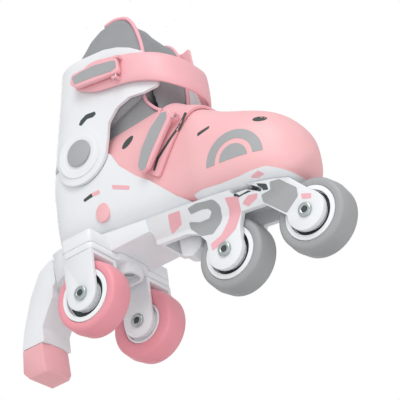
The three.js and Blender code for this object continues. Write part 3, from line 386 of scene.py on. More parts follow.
chassis_tree = surface_tree(chassis)
hook_panel = [
    (41, 77.3, 1), (50, 77.3, 3), (66.6, 74, 5), (70, 68, 5), (64, 57, 5), (55, 50.5, 3),
    (44, 53.5, 4), (34.5, 64.5, 2), (35.5, 69.5, 2), (45, 65.5, 3), (55, 64.5, 3), (60.5, 67.5, 2),
    (58, 70.5, 2), (52.8, 71.9, 3), (41, 73, 1),
]
arm_strip = [
    (77, 71, 1), (88.5, 67.5, 1), (84, 56, 6), (77, 45, 6), (63, 38.5, 4), (52, 36, 1),
    (51.5, 42.5, 1), (63, 46, 5), (70.5, 54, 5), (76, 64, 4),
]
toe_panel = [
    (119, 67, 2), (127, 67, 2), (139, 55, 3), (139, 47, 3), (126, 37, 2), (107, 56, 2),
    (108, 61, 2), (117, 62, 2),
]
small_panels = {
    "side_window": [(21, 80.5, 1), (33, 79, 1), (28.5, 70.5, 1), (15.5, 68, 1), (17.5, 74, 1)],
    "arch_patch": [(89, 62, 1), (97, 64.8, 1), (106.5, 62.8, 1), (103, 60, 1), (93, 58.4, 1)],
    "axle_patch": [(142, 47.5, 1), (151, 43.5, 1), (150, 39.5, 1), (142, 42.5, 1)],
}
# The dark panel over the curved slot in each wall is painted shade, standing in for the shadow seen
# through the slot.
slot_shade_outline = [
    (85, 69, 1), (88, 72.4, 2), (97, 72.6, 4), (107, 70, 4), (116, 66.8, 1), (115.5, 62.6, 1),
    (108, 64, 2), (102, 66, 3), (94, 66.8, 3), (88, 66.8, 1),
]
for side, flank in ((-1, "right"), (1, "left")):
    print_and_shade_panel(f"hook_panel_{flank}", hook_panel, side, chassis_tree, "base",
                  grey_print)
    print_and_shade_panel(f"arm_strip_{flank}", arm_strip, side, chassis_tree, "base",
                  pink_print)
    print_and_shade_panel(f"toe_panel_{flank}", toe_panel, side, chassis_tree, "base",
                  grey_print)
    print_and_shade_panel(f"wall_slot_shade_{flank}", slot_shade_outline, side, chassis_tree, "base",
                  recess_painted_shade, 0.1, 2.5, 22.5)
    for label, outline in small_panels.items():
        print_and_shade_panel(f"{label}_{flank}", outline, side, chassis_tree, "base",
                      pink_print)

# ==================================================================================================
# Heel brake. A hollow white arm bolted to the back of the chassis, with a moulded pink rubber pad
# screwed to its foot.
# ==================================================================================================
pink_rubber = plastic("pink_rubber", tint(238, 178, 183), tint(230, 166, 172), 0.5, 0.25, 600.0)
softened_copy("brake_arm", 0.9, "base", white_shell)
softened_copy("brake_bolt", 0.4, "base", bolt_steel)
softened_copy("brake_pad", 1.2, "base", pink_rubber, segments=3)
softened_copy("brake_pad_screw", 0.3, "base", bolt_steel)

# ==================================================================================================
# Heel shell. The white lower half of the boot, moulded in one piece with the two ears that the
# cuff turns on, and screwed to the chassis through its sole.
# ==================================================================================================
sole_over_heel = 94.8
heel_x = -58.2
sole_slope = 0.144
boot_rear, boot_toe = -106.0, 152.0
form_width = [
    (-106.4, 2), (-106, 8), (-104, 16), (-99, 23.5), (-89, 30), (-78, 33), (-58, 34.4), (15, 36.3),
    (48, 38.6), (78, 40), (102, 39.6), (118, 36.8), (131, 31.5), (140, 25.5), (147, 18),
    (150.5, 11.5), (152, 6), (152.6, 1.5),
]
form_top = [
    (-106, 200), (24, 203), (35, 198), (47, 187), (60, 176), (75, 165), (91, 156), (105, 150),
    (118, 144), (131, 136), (140, 127.5), (147, 116), (150.5, 108), (152, 100), (152.6, 95),
]
toe_spring = [(131, 0), (140, 2.5), (147, 9), (150.5, 16), (152, 23), (152.6, 26)]


def sole(x):
    return sole_over_heel - sole_slope * (x - heel_x)


def table_value(table, x):
    return float(np.interp(x, [p[0] for p in table], [p[1] for p in table]))


form_stations = []
for i in range(53):
    turn = math.pi * i / 52
    form_stations.append(23.1 - 129.5 * math.cos(turn))


def eased(table):
    """The table's value at every station of the boot, with its corners eased."""
    values = np.array([table_value(table, x) for x in form_stations])
    for _ in range(3):
        values[1:-1] = (values[:-2] + 2 * values[1:-1] + values[2:]) / 4
    return values


eased_width, eased_top, eased_spring = eased(form_width), eased(form_top), eased(toe_spring)


def boot_form(inset):
    """The boot's outer form, drawn in by inset (a number or a function of the place along X)."""
    bm = bmesh.new()
    rings = []
    for i, x in enumerate(form_stations):
        depth = inset(x) if callable(inset) else inset
        share = (x - boot_rear) / (boot_toe - boot_rear)
        place = boot_rear + depth + share * (boot_toe - boot_rear - 2 * depth)
        half = eased_width[i] * (1 - depth / 40)
        low = sole(place) + eased_spring[i] + depth
        high = eased_top[i] - depth
        middle = low + (high - low) * 0.42
        ring = bmesh.ops.create_circle(bm, cap_ends=i in (0, len(form_stations) - 1),
                                       segments=40, radius=1)["verts"]
        for v in ring:
            c, s = v.co.x, v.co.y
            power = 0.8 if s > 0 else 0.5
            reach = high - middle if s > 0 else middle - low
            y = half * math.copysign(abs(c) ** power, c)
            z = middle + reach * math.copysign(abs(s) ** power, s)
            v.co = at(place, y, z)
        rings.append({e for v in ring for e in v.link_edges})
    for first, second in zip(rings, rings[1:]):
        bmesh.ops.bridge_loops(bm, edges=list(first | second))
    bmesh.ops.recalc_face_normals(bm, faces=bm.faces)
    return bm


def prism(outline, low, high):
    """An outline in X and Z, extruded along Y, in millimetres."""
    bm = bmesh.new()
    face = bm.faces.new([bm.verts.new(at(p[0], low, p[1])) for p in rounded(outline)])
    skin = bmesh.ops.extrude_face_region(bm, geom=[face])
    moved = [v for v in skin["geom"] if isinstance(v, bmesh.types.BMVert)]
    bmesh.ops.translate(bm, verts=moved, vec=(0, (high - low) / 1000, 0))
    bmesh.ops.recalc_face_normals(bm, faces=bm.faces)
    return bm


def bar(radius, x, z, low, high, segments=48):
    """A round bar along Y, in millimetres."""
    bm = bmesh.new()
    centre = (at(x, low, z) + at(x, high, z)) / 2
    turn = Matrix.Translation(centre) @ Matrix.Rotation(math.radians(90), 4, "X")
    bmesh.ops.create_cone(bm, cap_ends=True, segments=segments, radius1=radius / 1000,
                          radius2=radius / 1000, depth=(high - low) / 1000, matrix=turn)
    return bm


def joined(first, *steps):
    """The first solid after each ("cut" | "keep" | "add", solid) step."""
    verbs = {"cut": "DIFFERENCE", "keep": "INTERSECT", "add": "UNION"}

    def stand_in(bm):
        mesh = bpy.data.meshes.new("block")
        bm.to_mesh(mesh)
        bm.free()
        thing = bpy.data.objects.new("block", mesh)
        bpy.context.collection.objects.link(thing)
        return thing

    work = stand_in(first)
    tools = [stand_in(bm) for _, bm in steps]
    for (verb, _), tool in zip(steps, tools):
        change = work.modifiers.new(verb, "BOOLEAN")
        change.operation = verbs[verb]
        change.solver = "EXACT"
        change.object = tool
    bpy.context.view_layer.update()
    graph = bpy.context.evaluated_depsgraph_get()
    bm = bmesh.new()
    bm.from_mesh(work.evaluated_get(graph).to_mesh())
    for thing in [work, *tools]:
        mesh = thing.data
        bpy.data.objects.remove(thing)
        bpy.data.meshes.remove(mesh)
    bmesh.ops.remove_doubles(bm, verts=bm.verts, dist=2e-5)
    return bm


seam = [(49.5, 70), (49.5, 79), (35, 91), (12, 116, 8), (-1, 127, 8), (-18, 146, 8)]
cuff_pivot = (-55, 175)
heel_keep = [
    (-112, 60), *seam, (-26, 162, 6), (-36, 172, 6), (-75, 178, 6), (-84, 179.5), (-112, 179.5),
]
ear_outlines = [
    step for s in (-1, 1)
    for step in [("add", bar(17, *cuff_pivot, min(s * 30.2, s * 33.6), max(s * 30.2, s * 33.6)))]
]
heel = joined(
    boot_form(0),
    ("keep", prism(heel_keep, -60, 60)),
    ("cut", boot_form(3)),
    *ear_outlines,
    ("cut", bar(30.5, *cuff_pivot, 33.6, 60, 64)),
    ("cut", bar(30.5, *cuff_pivot, -60, -33.6, 64)),
)
heel_shell = finish_piece("heel_shell_moulded", heel, "base", white_shell,
                          ["heel_shell"], 0.7, 2, 50)
heel_tree = surface_tree(heel_shell)
for side, flank in ((-1, "right"), (1, "left")):
    heel_slots = {
        "heel_slot": ([(-27.5, 130.8, 1), (-9, 120.9, 1), (-9.6, 117.2, 1), (-26.8, 126.4, 1)],
                      pink_print),
        "heel_flash": ([(-50, 133.4, 0.4), (-41.5, 132.8, 1.5), (-40.5, 128.6, 1.5),
                        (-49, 129.6, 0.4)], pink_print),
        # The heel vent is a near-black panel of painted shade where the vent lies in shadow.
        "heel_vent_shade": ([(-60, 131.5, 1), (-50.2, 133.4, 0.4), (-49.2, 129.6, 0.4),
                       (-58.5, 128.8, 1)], recess_painted_shade),
    }
    for label, (outline, paint) in heel_slots.items():
        print_and_shade_panel(f"{label}_{flank}", outline, side, heel_tree, "base", paint)
for node in ("heel_screw_rear", "heel_screw_front"):
    softened_copy(node, 0.3, "base", bolt_steel)
pink_shell = plastic("pink_shell", tint(240, 184, 187), tint(234, 174, 179), 0.36, 0.08)
softened_copy("size_button", 1.2, "size_button", pink_shell, segments=3)

# ==================================================================================================
# Toe shell. The pink front of the boot slides inside the heel shell to change the size. It carries a
# printed grey arch on each flank, and its vents on top and at the sides are near-black panels of
# painted shade.
# ==================================================================================================
def toe_inset(x):
    return table_value([(49, 3.4), (58, 0.35)], x)


toe_keep = [
    (-54, 60), (160, 60), (160, 240), (37.5, 240), (37, 197, 2), (30, 189, 6), (8, 187, 4),
    (-8, 188, 4), (-34, 189, 3), (-35.5, 175), (-38, 157), (-54, 152),
]
toe = joined(
    boot_form(toe_inset),
    ("keep", prism(toe_keep, -60, 60)),
    ("cut", boot_form(lambda x: toe_inset(x) + 3)),
)
toe_shell = finish_piece("toe_shell_moulded", toe, "toe", pink_shell,
                         ["toe_shell"], 0.6, 2, 50)
toe_tree = surface_tree(toe_shell)


def arch(centre, outer, inner, tilt, steps=24):
    """A half ring, or a half disc where inner is 0, with its flat side turned by tilt degrees."""
    def ring(radius, order):
        return [(centre[0] + radius * math.cos(math.radians(tilt + 180 * k / steps)),
                 centre[1] + radius * math.sin(math.radians(tilt + 180 * k / steps)))
                for k in order]
    inside = ring(inner, range(steps, -1, -1)) if inner else []
    return ring(outer, range(steps + 1)) + inside


arch_centre, arch_tilt = (97.5, 94.3), -6.4


def oval(centre, wide, tall, tilt, steps=24):
    """An oval outline turned by tilt degrees."""
    c, s = math.cos(math.radians(tilt)), math.sin(math.radians(tilt))
    turns = [math.tau * i / steps for i in range(steps)]
    return [(centre[0] + wide * math.cos(a) * c - tall * math.sin(a) * s,
             centre[1] + wide * math.cos(a) * s + tall * math.sin(a) * c) for a in turns]


# The sill is the white lip that hugs the toe shell along its sole, and slides with it.
sill_keep = [
    (50, sole(50) + 0.2), (130, sole(130) + 0.2), (146, 60), (150, 66), (140, 68.5, 6),
    (132, 72.8, 6), (122.8, 77, 6), (111, 77.8, 8), (98, 78.2, 8), (79.7, 80.5, 8),
    (56.5, 84.9, 6), (50, 86),
]
sill = finish_piece("toe_sill", joined(
    boot_form(lambda x: toe_inset(x) - 1.1),
    ("keep", prism(sill_keep, -60, 60)),
    ("cut", boot_form(lambda x: toe_inset(x) - 0.08)),
), "toe", white_shell, (), 0.35, 2, 40)
sill_tree = surface_tree(sill)
toe_marks = {
    "arch_band": (arch(arch_centre, 26.3, 17.8, arch_tilt), "trim_grey", grey_print, 0.25),
    "arch_heart": (arch(arch_centre, 13.2, 0, arch_tilt), "trim_grey", grey_print, 0.25),
    # The three vents are near-black panels of painted shade laid on the shell, not openings.
    "side_vent_shade": (oval((-8.7, 167), 7.2, 3.9, 36), "shell_pink", recess_painted_shade, 0.1),
    "toe_vent_shade": ([(67, 130.6, 1.5), (79, 133.4, 1.5), (79.6, 136.4, 1.5), (67.4, 134.2, 1.5)],
                 "shell_pink", recess_painted_shade, 0.1),
    "cap_vent_shade": (oval((123.4, 123.6), 5.6, 2.9, -14), "shell_pink", recess_painted_shade, 0.1),
}
for side, flank in ((-1, "right"), (1, "left")):
    for label, (outline, slot_name, paint, lift) in toe_marks.items():
        print_and_shade_panel(f"{label}_{flank}", outline, side, toe_tree, "toe", paint, lift)
    print_and_shade_panel(f"sill_mark_{flank}", [(106, 74.4, 0.6), (115.5, 75.8, 0.6), (119, 72.6, 0.6),
                  (112, 72.4, 0.6)], side, sill_tree, "toe", pink_print)

# ==================================================================================================
# Cuff. The white upper shell wraps the shin from behind and leans on two rivets through the heel
# shell's ears. Round grey badges cap the rivets, and over each of them a curved vent is drawn as a
# near-black panel of painted shade.
# ==================================================================================================
ear_face, cuff_wall = 33.6, 3.2
cuff_half = ear_face + 0.8 + cuff_wall
cuff_lean = 0.206


def skinned(rings):
    """A closed solid through rings of points that all have the same number of points."""
    bm = bmesh.new()
    loops = []
    for i, ring in enumerate(rings):
        made = bmesh.ops.create_circle(bm, cap_ends=i in (0, len(rings) - 1), segments=len(ring),
                                       radius=1)["verts"]
        for v, place in zip(made, ring):
            v.co = place
        loops.append({e for v in made for e in v.link_edges})
    for first, second in zip(loops, loops[1:]):
        bmesh.ops.bridge_loops(bm, edges=list(first | second))
    bmesh.ops.recalc_face_normals(bm, faces=bm.faces)
    return bm


def cuff_ring(z, inset):
    """The cuff's plan at one height: half an ellipse at the back and sides that close in ahead."""
    rise = z - 181
    rear = -104 + cuff_lean * (rise + math.hypot(rise, 5)) / 2 + inset
    half = cuff_half - inset
    points = []
    for i in range(37):
        a = math.pi / 2 + math.pi * i / 36
        points.append((rear + 40 + 40 * math.cos(a), half * math.sin(a)))
    front = [float(x) for x in np.linspace(-30, 60 + inset, 16)]
    narrow = [0.0055 * max(0, x + 2) ** 1.94 for x in front]
    points += [(x, -half + n) for x, n in zip(front, narrow)]
    points += [(x, half - n) for x, n in zip(reversed(front), reversed(narrow))]
    return [at(x, y, z) for x, y in points]


def cuff_form(inset, grow=0):
    heights = [140 - grow, 165, 175, 179, 181, 183, 187, 197, 285 + grow]
    return skinned([cuff_ring(z, inset) for z in heights])


ear_arc = [(cuff_pivot[0] + 29.5 * math.cos(math.pi * (1.02 + 0.86 * i / 24)),
            cuff_pivot[1] + 29.5 * math.sin(math.pi * (1.02 + 0.86 * i / 24))) for i in range(25)]
cuff_outline = [
    (-112, 181), (-86, 181, 2), *ear_arc, (-24, 177, 3), (-21, 191, 9), (-10, 201.5, 9),
    (4, 205, 6), (18, 203, 6), (31, 205, 3), (33, 212, 4), (24, 244, 5), (11, 254, 10),
    (-2, 261, 12), (-16, 266, 14), (-40, 269, 14), (-70, 271, 10), (-112, 271),
]
cuff_steps = [("keep", prism(cuff_outline, -60, 60)), ("cut", cuff_form(cuff_wall, 4))]
for s in (-1, 1):
    cuff_steps.append(("add", bar(22.8, *cuff_pivot, *sorted((s * 34.4, s * 38.4)), 64)))
cuff_steps.append(("cut", bar(25, *cuff_pivot, -34.4, 34.4, 64)))
cuff_shell = finish_piece("cuff_moulded", joined(cuff_form(0), *cuff_steps), "cuff",
                          white_shell, ["cuff"], 0.7, 2, 40)
cuff_tree = surface_tree(cuff_shell)
# The curved vent over each rivet is a near-black panel of painted shade.
cuff_vent_shade = [
    (-52.8, 204, 1.5), (-50, 207.8, 3), (-43.5, 210.6, 4), (-33.8, 209, 1.5), (-32.8, 205.6, 1.5),
    (-36.5, 204.2, 2), (-43, 205.6, 4), (-50, 202, 1.5),
]
grey_badge = plastic("grey_badge", tint(168, 170, 172), tint(160, 162, 164), 0.4)
for side, flank in ((-1, "right"), (1, "left")):
    print_and_shade_panel(f"cuff_vent_shade_{flank}", cuff_vent_shade, side, cuff_tree, "cuff",
                  recess_painted_shade, 0.1)
    softened_copy(f"cuff_badge_{flank}", 0.5, "cuff", grey_badge)
    groove = bar(17.6, *cuff_pivot, *sorted((side * 38.2, side * 38.55)), 64)
    groove = joined(groove, ("cut", bar(16.9, *cuff_pivot, -60, 60, 64)))
    finish_piece(f"cuff_groove_{flank}", groove, "cuff",
                 white_nylon)

# ==================================================================================================
# Liner. A padded grey textile boot with pink binding on its front edges: a foot part inside the
# shells, an upper part inside the cuff, and a tongue in front of the shin. The padding is swollen
# by a short cloth simulation.
# ==================================================================================================
def woven_group():
    """Close-woven cloth: crossed threads in the height, worn tone in the colour."""
    group, nodes, links, given, out = effect_group(
        "woven_cloth",
        [
            ("Colour", "NodeSocketColor", (0.5, 0.5, 0.5, 1)),
            ("Shade", "NodeSocketColor", (0.4, 0.4, 0.4, 1)),
            ("Roughness", "NodeSocketFloat", 0.85),
            ("Grain scale", "NodeSocketFloat", 700.0),
        ],
        [
            ("Colour", "NodeSocketColor"),
            ("Roughness", "NodeSocketFloat"),
            ("Height", "NodeSocketFloat"),
        ],
    )
    place = nodes.new("ShaderNodeTexCoord")
    height = None
    for turn in ((0, 0, 0), (0, math.pi / 2, 0)):
        mapping = nodes.new("ShaderNodeMapping")
        mapping.inputs["Rotation"].default_value = turn
        links.new(place.outputs["Object"], mapping.inputs["Vector"])
        thread = nodes.new("ShaderNodeTexWave")
        thread.inputs["Distortion"].default_value = 0.6
        links.new(mapping.outputs["Vector"], thread.inputs["Vector"])
        links.new(given.outputs["Grain scale"], thread.inputs["Scale"])
        if height is None:
            height = thread
        else:
            both = nodes.new("ShaderNodeMath")
            both.operation = "MULTIPLY"
            links.new(height.outputs["Fac"], both.inputs[0])
            links.new(thread.outputs["Fac"], both.inputs[1])
            links.new(both.outputs["Value"], out.inputs["Height"])
    cloud = nodes.new("ShaderNodeTexNoise")
    cloud.inputs["Scale"].default_value = 45
    cloud.inputs["Detail"].default_value = 4
    links.new(place.outputs["Object"], cloud.inputs["Vector"])
    mix = nodes.new("ShaderNodeMix")
    mix.data_type = "RGBA"
    links.new(cloud.outputs["Fac"], mix.inputs["Factor"])
    links.new(given.outputs["Colour"], mix.inputs["A"])
    links.new(given.outputs["Shade"], mix.inputs["B"])
    links.new(mix.outputs["Result"], out.inputs["Colour"])
    links.new(given.outputs["Roughness"], out.inputs["Roughness"])
    return group


woven_cloth = woven_group()
grey_cloth = surface_material(
    "grey_cloth", woven_cloth,
    {"Colour": tint(156, 158, 161), "Shade": tint(142, 145, 148), "Roughness": 0.86,
     "Grain scale": 420.0}, 0.35)
pink_binding = surface_material(
    "pink_binding", woven_cloth,
    {"Colour": tint(243, 184, 194), "Shade": tint(236, 172, 184), "Roughness": 0.8,
     "Grain scale": 500.0}, 0.25)


def plumped(name, bm, body, stands_for, voxel=2.0, pressure=4.0, cap=1.2):
    """A padded piece: the bmesh remeshed, swollen as cloth, held to the cap, and smoothed."""
    piece = finish_piece(name, bm, body, grey_cloth, stands_for, sharp=180)
    bpy.context.view_layer.objects.active = piece
    remesh = piece.modifiers.new("remesh", "REMESH")
    remesh.mode = "VOXEL"
    remesh.voxel_size = voxel / 1000
    bpy.ops.object.modifier_apply(modifier="remesh")
    rest = np.array([v.co[:] for v in piece.data.vertices])
    cloth = piece.modifiers.new("cloth", "CLOTH")
    cloth.settings.use_pressure = True
    cloth.settings.uniform_pressure_force = pressure
    cloth.settings.effector_weights.gravity = 0
    cloth.settings.quality = 4
    cloth.collision_settings.use_collision = False
    cloth.point_cache.frame_start = 1
    cloth.point_cache.frame_end = 20
    for step in range(1, 21):
        bpy.context.scene.frame_set(step)
    graph = bpy.context.evaluated_depsgraph_get()
    swollen = np.array([v.co[:] for v in piece.evaluated_get(graph).data.vertices])
    piece.modifiers.remove(cloth)
    bpy.context.scene.frame_set(1)
    moved = swollen - rest
    reach = np.maximum(np.linalg.norm(moved, axis=1, keepdims=True), 1e-9)
    held = rest + moved / reach * np.minimum(reach, cap / 1000)
    piece.data.vertices.foreach_set("co", held.ravel())
    calm = piece.modifiers.new("calm", "SMOOTH")
    calm.factor = 0.5
    calm.iterations = 4
    soft = piece.modifiers.new("soft", "SUBSURF")
    soft.levels = 1
    soft.render_levels = 1
    for modifier in ("calm", "soft"):
        bpy.ops.object.modifier_apply(modifier=modifier)
    piece.data.shade_smooth()
    return piece


def sewn_tube(name, path, radius, body, material, stands_for=()):
    """A round cord of binding along a smooth path of [x, y, z] points, with rounded ends."""
    points = [at(*p) for p in path]
    way = []
    for i in range(len(points) - 1):
        before = points[max(0, i - 1)]
        after = points[min(len(points) - 1, i + 2)]
        for k in range(6):
            t = k / 6
            a, b = points[i], points[i + 1]
            way.append(0.5 * (2 * a + (b - before) * t + (2 * before - 5 * a + 4 * b - after) * t * t
                              + (3 * a - before - 3 * b + after) * t ** 3))
    way.append(points[-1])
    rings = []
    last = len(way) - 1
    for i, place in enumerate(way):
        run = (way[min(i + 1, last)] - way[max(i - 1, 0)]).normalized()
        side = run.cross(Vector((0, 1, 0))).normalized()
        up = side.cross(run).normalized()
        size = radius / 1000 * (0.45 if i in (0, last) else 0.85 if i in (1, last - 1) else 1)
        rings.append([place + size * (side * math.cos(a) + up * math.sin(a))
                      for a in np.linspace(0, math.tau, 12, endpoint=False)])
    return finish_piece(name, skinned(rings), body, material, stands_for, sharp=180)


liner_keep = [
    (-112, 181.5), (-85, 181.5, 2), (-60, 184, 3), (12.5, 205.5, 3), (18.5, 222, 8),
    (19.5, 252, 10), (16, 275, 8), (11.5, 285, 6), (6, 291, 6), (-5, 294.7, 10), (-20, 292.8, 12),
    (-36, 284.5, 12), (-46, 275, 10), (-58, 270.5, 10), (-112, 270.5),
]
upper_liner = joined(
    skinned([cuff_ring(z, 4.6) for z in (170, 181, 187, 200, 305)]),
    ("keep", prism(liner_keep, -60, 60)),
    ("cut", skinned([cuff_ring(z, 8.4) for z in (165, 181, 187, 200, 310)])),
    ("cut", bar(31, *cuff_pivot, -60, 60, 48)),
)
plumped("liner_cuff_padded", upper_liner, "cuff", ["liner_cuff"], 1.8, 4.0, 0.7)

tongue_spine = [
    (52, 175.9, 49, 172.3, 9, 0), (44, 179.3, 42, 173.8, 14, 1), (36, 185.3, 32, 180.3, 18, 4),
    (31.5, 194, 26, 191.5, 20.5, 8), (30, 204, 24.5, 203, 20.5, 9), (27, 222, 21.5, 221, 20.5, 9),
    (24, 243, 18.5, 242, 20.5, 9), (20, 260, 14.5, 258.5, 20.5, 9), (13, 281, 7.5, 278.5, 19.5, 8),
    (7, 292, 2.5, 288.5, 17, 6), (2.5, 297, -1.5, 294, 11, 3),
]
tongue_rings = []
for front_x, front_z, back_x, back_z, half, bow in tongue_spine:
    ring = []
    for a in np.linspace(0, math.tau, 32, endpoint=False):
        share = math.copysign(abs(math.cos(a)) ** 0.6, math.cos(a))
        depth = 0.5 + 0.42 * math.copysign(abs(math.sin(a)) ** 0.8, math.sin(a))
        bend = bow * share * share
        ring.append(at(back_x + (front_x - back_x) * depth - bend, half * share,
                       back_z + (front_z - back_z) * depth - bend * 0.3))
    tongue_rings.append(ring)
over_throat = [(-60, 330), (60, 330), (37.3, 200), (36.6, 197.3), (29.8, 189.1), (8, 188.3), (-60, 190)]
throat_room = joined(prism(over_throat, -60, 60), ("add", boot_form(7.1)))
tongue_form = joined(skinned(tongue_rings), ("keep", throat_room))
plumped("tongue_padded", tongue_form, "base", ["tongue"], 1.6, 4.0, 0.6)

foot_liner = finish_piece("liner_foot_padded", joined(
    boot_form(8.9),
    ("keep", prism([(-112, 60), (160, 60), (160, 171.5), (-112, 171.5)], -60, 60)),
    ("cut", boot_form(12.8)),
), "base", grey_cloth, ["liner_foot"], 0.8, 2, 40)


def collar_form(inset):
    """The throat collar's plan at each height, a long oval that clears the toe shell's rim."""
    rings = []
    for z, half in ((150, 27), (172, 26.5), (180, 25), (187, 23.2), (191, 23.4), (197, 25.2),
                    (206, 27.6), (214, 29)):
        turns = np.linspace(0, math.tau, 64, endpoint=False)
        rings.append([at(-18 + (54 - inset) * math.copysign(abs(math.cos(a)) ** 0.5, math.cos(a)),
                         (half - inset) * math.copysign(abs(math.sin(a)) ** 0.5, math.sin(a)), z)
                      for a in turns])
    return skinned(rings)


collar_keep = [
    (-62, 152), (-62, 172, 4), (-48, 186, 8), (-22, 198, 8), (0, 205.5, 6), (11.5, 208.5, 2),
    (13.5, 200, 5), (20.5, 190, 5), (31, 181, 3), (31, 152),
]
collar = joined(collar_form(0), ("keep", prism(collar_keep, -60, 60)), ("cut", collar_form(2.8)))
plumped("throat_collar_padded", collar, "base", [], 1.4, 4.0, 0.4)
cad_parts["insole"].material_slots[0].material = grey_cloth
for node in ("cuff_rivet_right", "cuff_rivet_left", "cuff_buckle_pin", "instep_buckle_pin"):
    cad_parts[node].material_slots[0].material = bolt_steel
for side, flank in ((-1, "right"), (1, "left")):
    sewn_tube(f"liner_binding_{flank}", [
        (12.5, side * 30.8, 206.5), (19, side * 30.6, 222), (20.3, side * 30.4, 240),
        (19.8, side * 30.6, 256), (16.8, side * 31, 273), (12.2, side * 31.2, 285),
        (6, side * 31.3, 291.6), (-5, side * 31.3, 295.2), (-16, side * 31.3, 294.2),
    ], 1.7, "cuff", pink_binding)
    sewn_tube(f"throat_binding_{flank}", [
        (3, side * 26.6, 207), (11.5, side * 27, 208.6), (14, side * 25.6, 200),
        (20.6, side * 23.4, 190.6), (31, side * 23.6, 181.4),
    ], 1.5, "base", pink_binding)

# ==================================================================================================
# Straps. Pink bands moulded in soft plastic close the cuff and the instep. Each is drawn tight by
# a ratchet lever with a grey inlay, which opens on a steel pin held by two lugs.
# ==================================================================================================
pink_strap = plastic("pink_strap", tint(240, 180, 187), tint(234, 171, 179), 0.38, 0.08)


def smooth_path(points, steps=5):
    """A path of tuples, filled in between by a smooth curve through them."""
    rows = [np.array(p, float) for p in points]
    out = []
    for i in range(len(rows) - 1):
        before, a = rows[max(0, i - 1)], rows[i]
        b, after = rows[i + 1], rows[min(len(rows) - 1, i + 2)]
        for k in range(steps):
            t = k / steps
            out.append(0.5 * (2 * a + (b - before) * t + (2 * before - 5 * a + 4 * b - after) * t * t
                              + (3 * a - before - 3 * b + after) * t ** 3))
    out.append(rows[-1])
    return out


def strap_band(path, thickness, crown=0.5, nose=1.0):
    """A band through [x, y, low, high] stations, with rounded edges and a slight crown."""
    way = smooth_path(path)
    rings = []
    for i, (x, y, low, high) in enumerate(way):
        run = way[min(i + 1, len(way) - 1)][:2] - way[max(i - 1, 0)][:2]
        run = run / np.linalg.norm(run)
        out = np.array([run[1], -run[0]])
        ring = []
        section = [
            (0, nose), (thickness * 0.3, nose * 0.2), (thickness * 0.7, nose * 0.2),
            (thickness * 0.95, nose), (thickness + crown * 0.7, 0.25), (thickness + crown, 0.5),
            (thickness + crown * 0.7, 0.75), (thickness * 0.95, -nose),
            (thickness * 0.7, -nose * 0.2), (thickness * 0.3, -nose * 0.2), (0, -nose),
            (0, 0.5),
        ]
        for j, (proud, rise) in enumerate(section):
            if j in (4, 5, 6, 11):
                z = low + (high - low) * rise
            else:
                z = low + rise if j < 4 else high + rise
            place = np.array([x, y]) + out * proud
            ring.append(at(place[0], place[1], z))
        rings.append(ring)
    return skinned(rings)


cuff_strap_path = [
    (-48, -38.9, 237, 250.5), (-30, -39.5, 226, 257), (-10, -39.7, 220.5, 252.5),
    (8, -39.3, 216.5, 246.5), (22, -37.8, 211.5, 241.5), (34, -33.8, 206.5, 237),
    (43, -26, 202, 233.5), (49, -14, 199.5, 231), (50.5, 0, 198.8, 230), (49, 14, 199.5, 231),
    (43, 26, 202, 233.5), (34, 33.8, 206.5, 237), (22, 37.8, 211.5, 241.5),
    (8, 39.3, 216.5, 246.5), (-10, 39.7, 220.5, 250.5), (-34, 39.3, 226, 250.5),
]
finish_piece("cuff_strap_moulded", strap_band(cuff_strap_path, 2.5), "cuff",
             pink_strap, ["cuff_strap"], sharp=60)
tab_outline = [
    (-3, 240), (-1.5, 282, 3), (3, 288, 2.5), (9, 283.5, 3), (17, 282, 4), (24.5, 284, 2.5),
    (26, 262, 8), (22, 238),
]
finish_piece("cuff_strap_tab", prism(tab_outline, 37.9, 40.5), "cuff", pink_strap,
             (), 0.8, 3, 40)


def lever_piece(name, outline, y, body, stands_for, inlay):
    """A ratchet lever seen from its side, with its inlay."""
    arm = finish_piece(f"{name}_arm", prism(outline, y - 2.6, y + 2.2), body,
                       pink_strap, [stands_for], 1.3, 4, 40)
    print_and_shade_panel(f"{name}_inlay", inlay, -1, surface_tree(arm), body, grey_print)


lever_piece("cuff_lever", [
    (3.5, 241.8, 2.5), (4.2, 226, 2.5), (-16, 229.5, 16), (-44, 234.5, 6), (-49.5, 241, 4),
    (-46.5, 249.8, 4), (-20, 248.5, 16),
], -46, "cuff_lever", "cuff_buckle_lever", [
    (-46, 246.5, 2), (-36, 247, 6), (-21, 246, 8), (-2, 240.6, 4), (2.6, 238.6, 1),
    (2.6, 231.5, 1), (-3, 230.2, 2), (-23, 234.6, 8), (-44.5, 238, 2),
])
lever_piece("instep_lever", [
    (38.4, 168.9, 2), (45.5, 168, 2.5), (49.2, 160.6, 3), (35.5, 144, 20), (18, 122.5, 4),
    (10, 120.8, 4), (6.8, 128, 5), (12.5, 144, 16), (26, 160, 16),
], -41.5, "instep_lever", "instep_buckle_lever", [
    (44, 165.4, 1.5), (38.5, 167, 1.5), (25.5, 157.5, 14), (14, 142.5, 14), (8.4, 128.5, 3),
    (10.4, 122.4, 2), (15.4, 122.6, 2), (22.5, 134, 12), (33.5, 147.5, 12), (43.6, 159.4, 3),
])


def lug_pair(name, pin, tail, y, half_pin, root, body):
    """The two lugs either side of a lever's pin."""
    run = Vector((tail[0] - pin[0], 0, tail[1] - pin[1])).normalized()
    across = Vector((-run.z, 0, run.x))
    bm = bmesh.new()
    for side in (-1, 1):
        centre = Vector((pin[0], 0, pin[1])) + across * side * (half_pin + 0.2 + 1.2)
        turn = Matrix((run, Vector((0, 1, 0)), across)).transposed().to_4x4()
        low = y - 2.8
        size = Matrix.Diagonal((0.0056, (root - low) / 1000, 0.0024, 1))
        place = Matrix.Translation(at(centre.x, (root + low) / 2, centre.z))
        bmesh.ops.create_cube(bm, size=1, matrix=place @ turn @ size)
    finish_piece(name, bm, body, pink_strap, (), 0.5, 2, 40)


lug_pair("cuff_strap_lugs", (1, 233), (-46, 244), -46, 8.5, -40.5, "cuff")
lug_pair("instep_strap_lugs", (43.5, 164.5), (12, 125.5), -41.5, 6.5, -36, "toe")

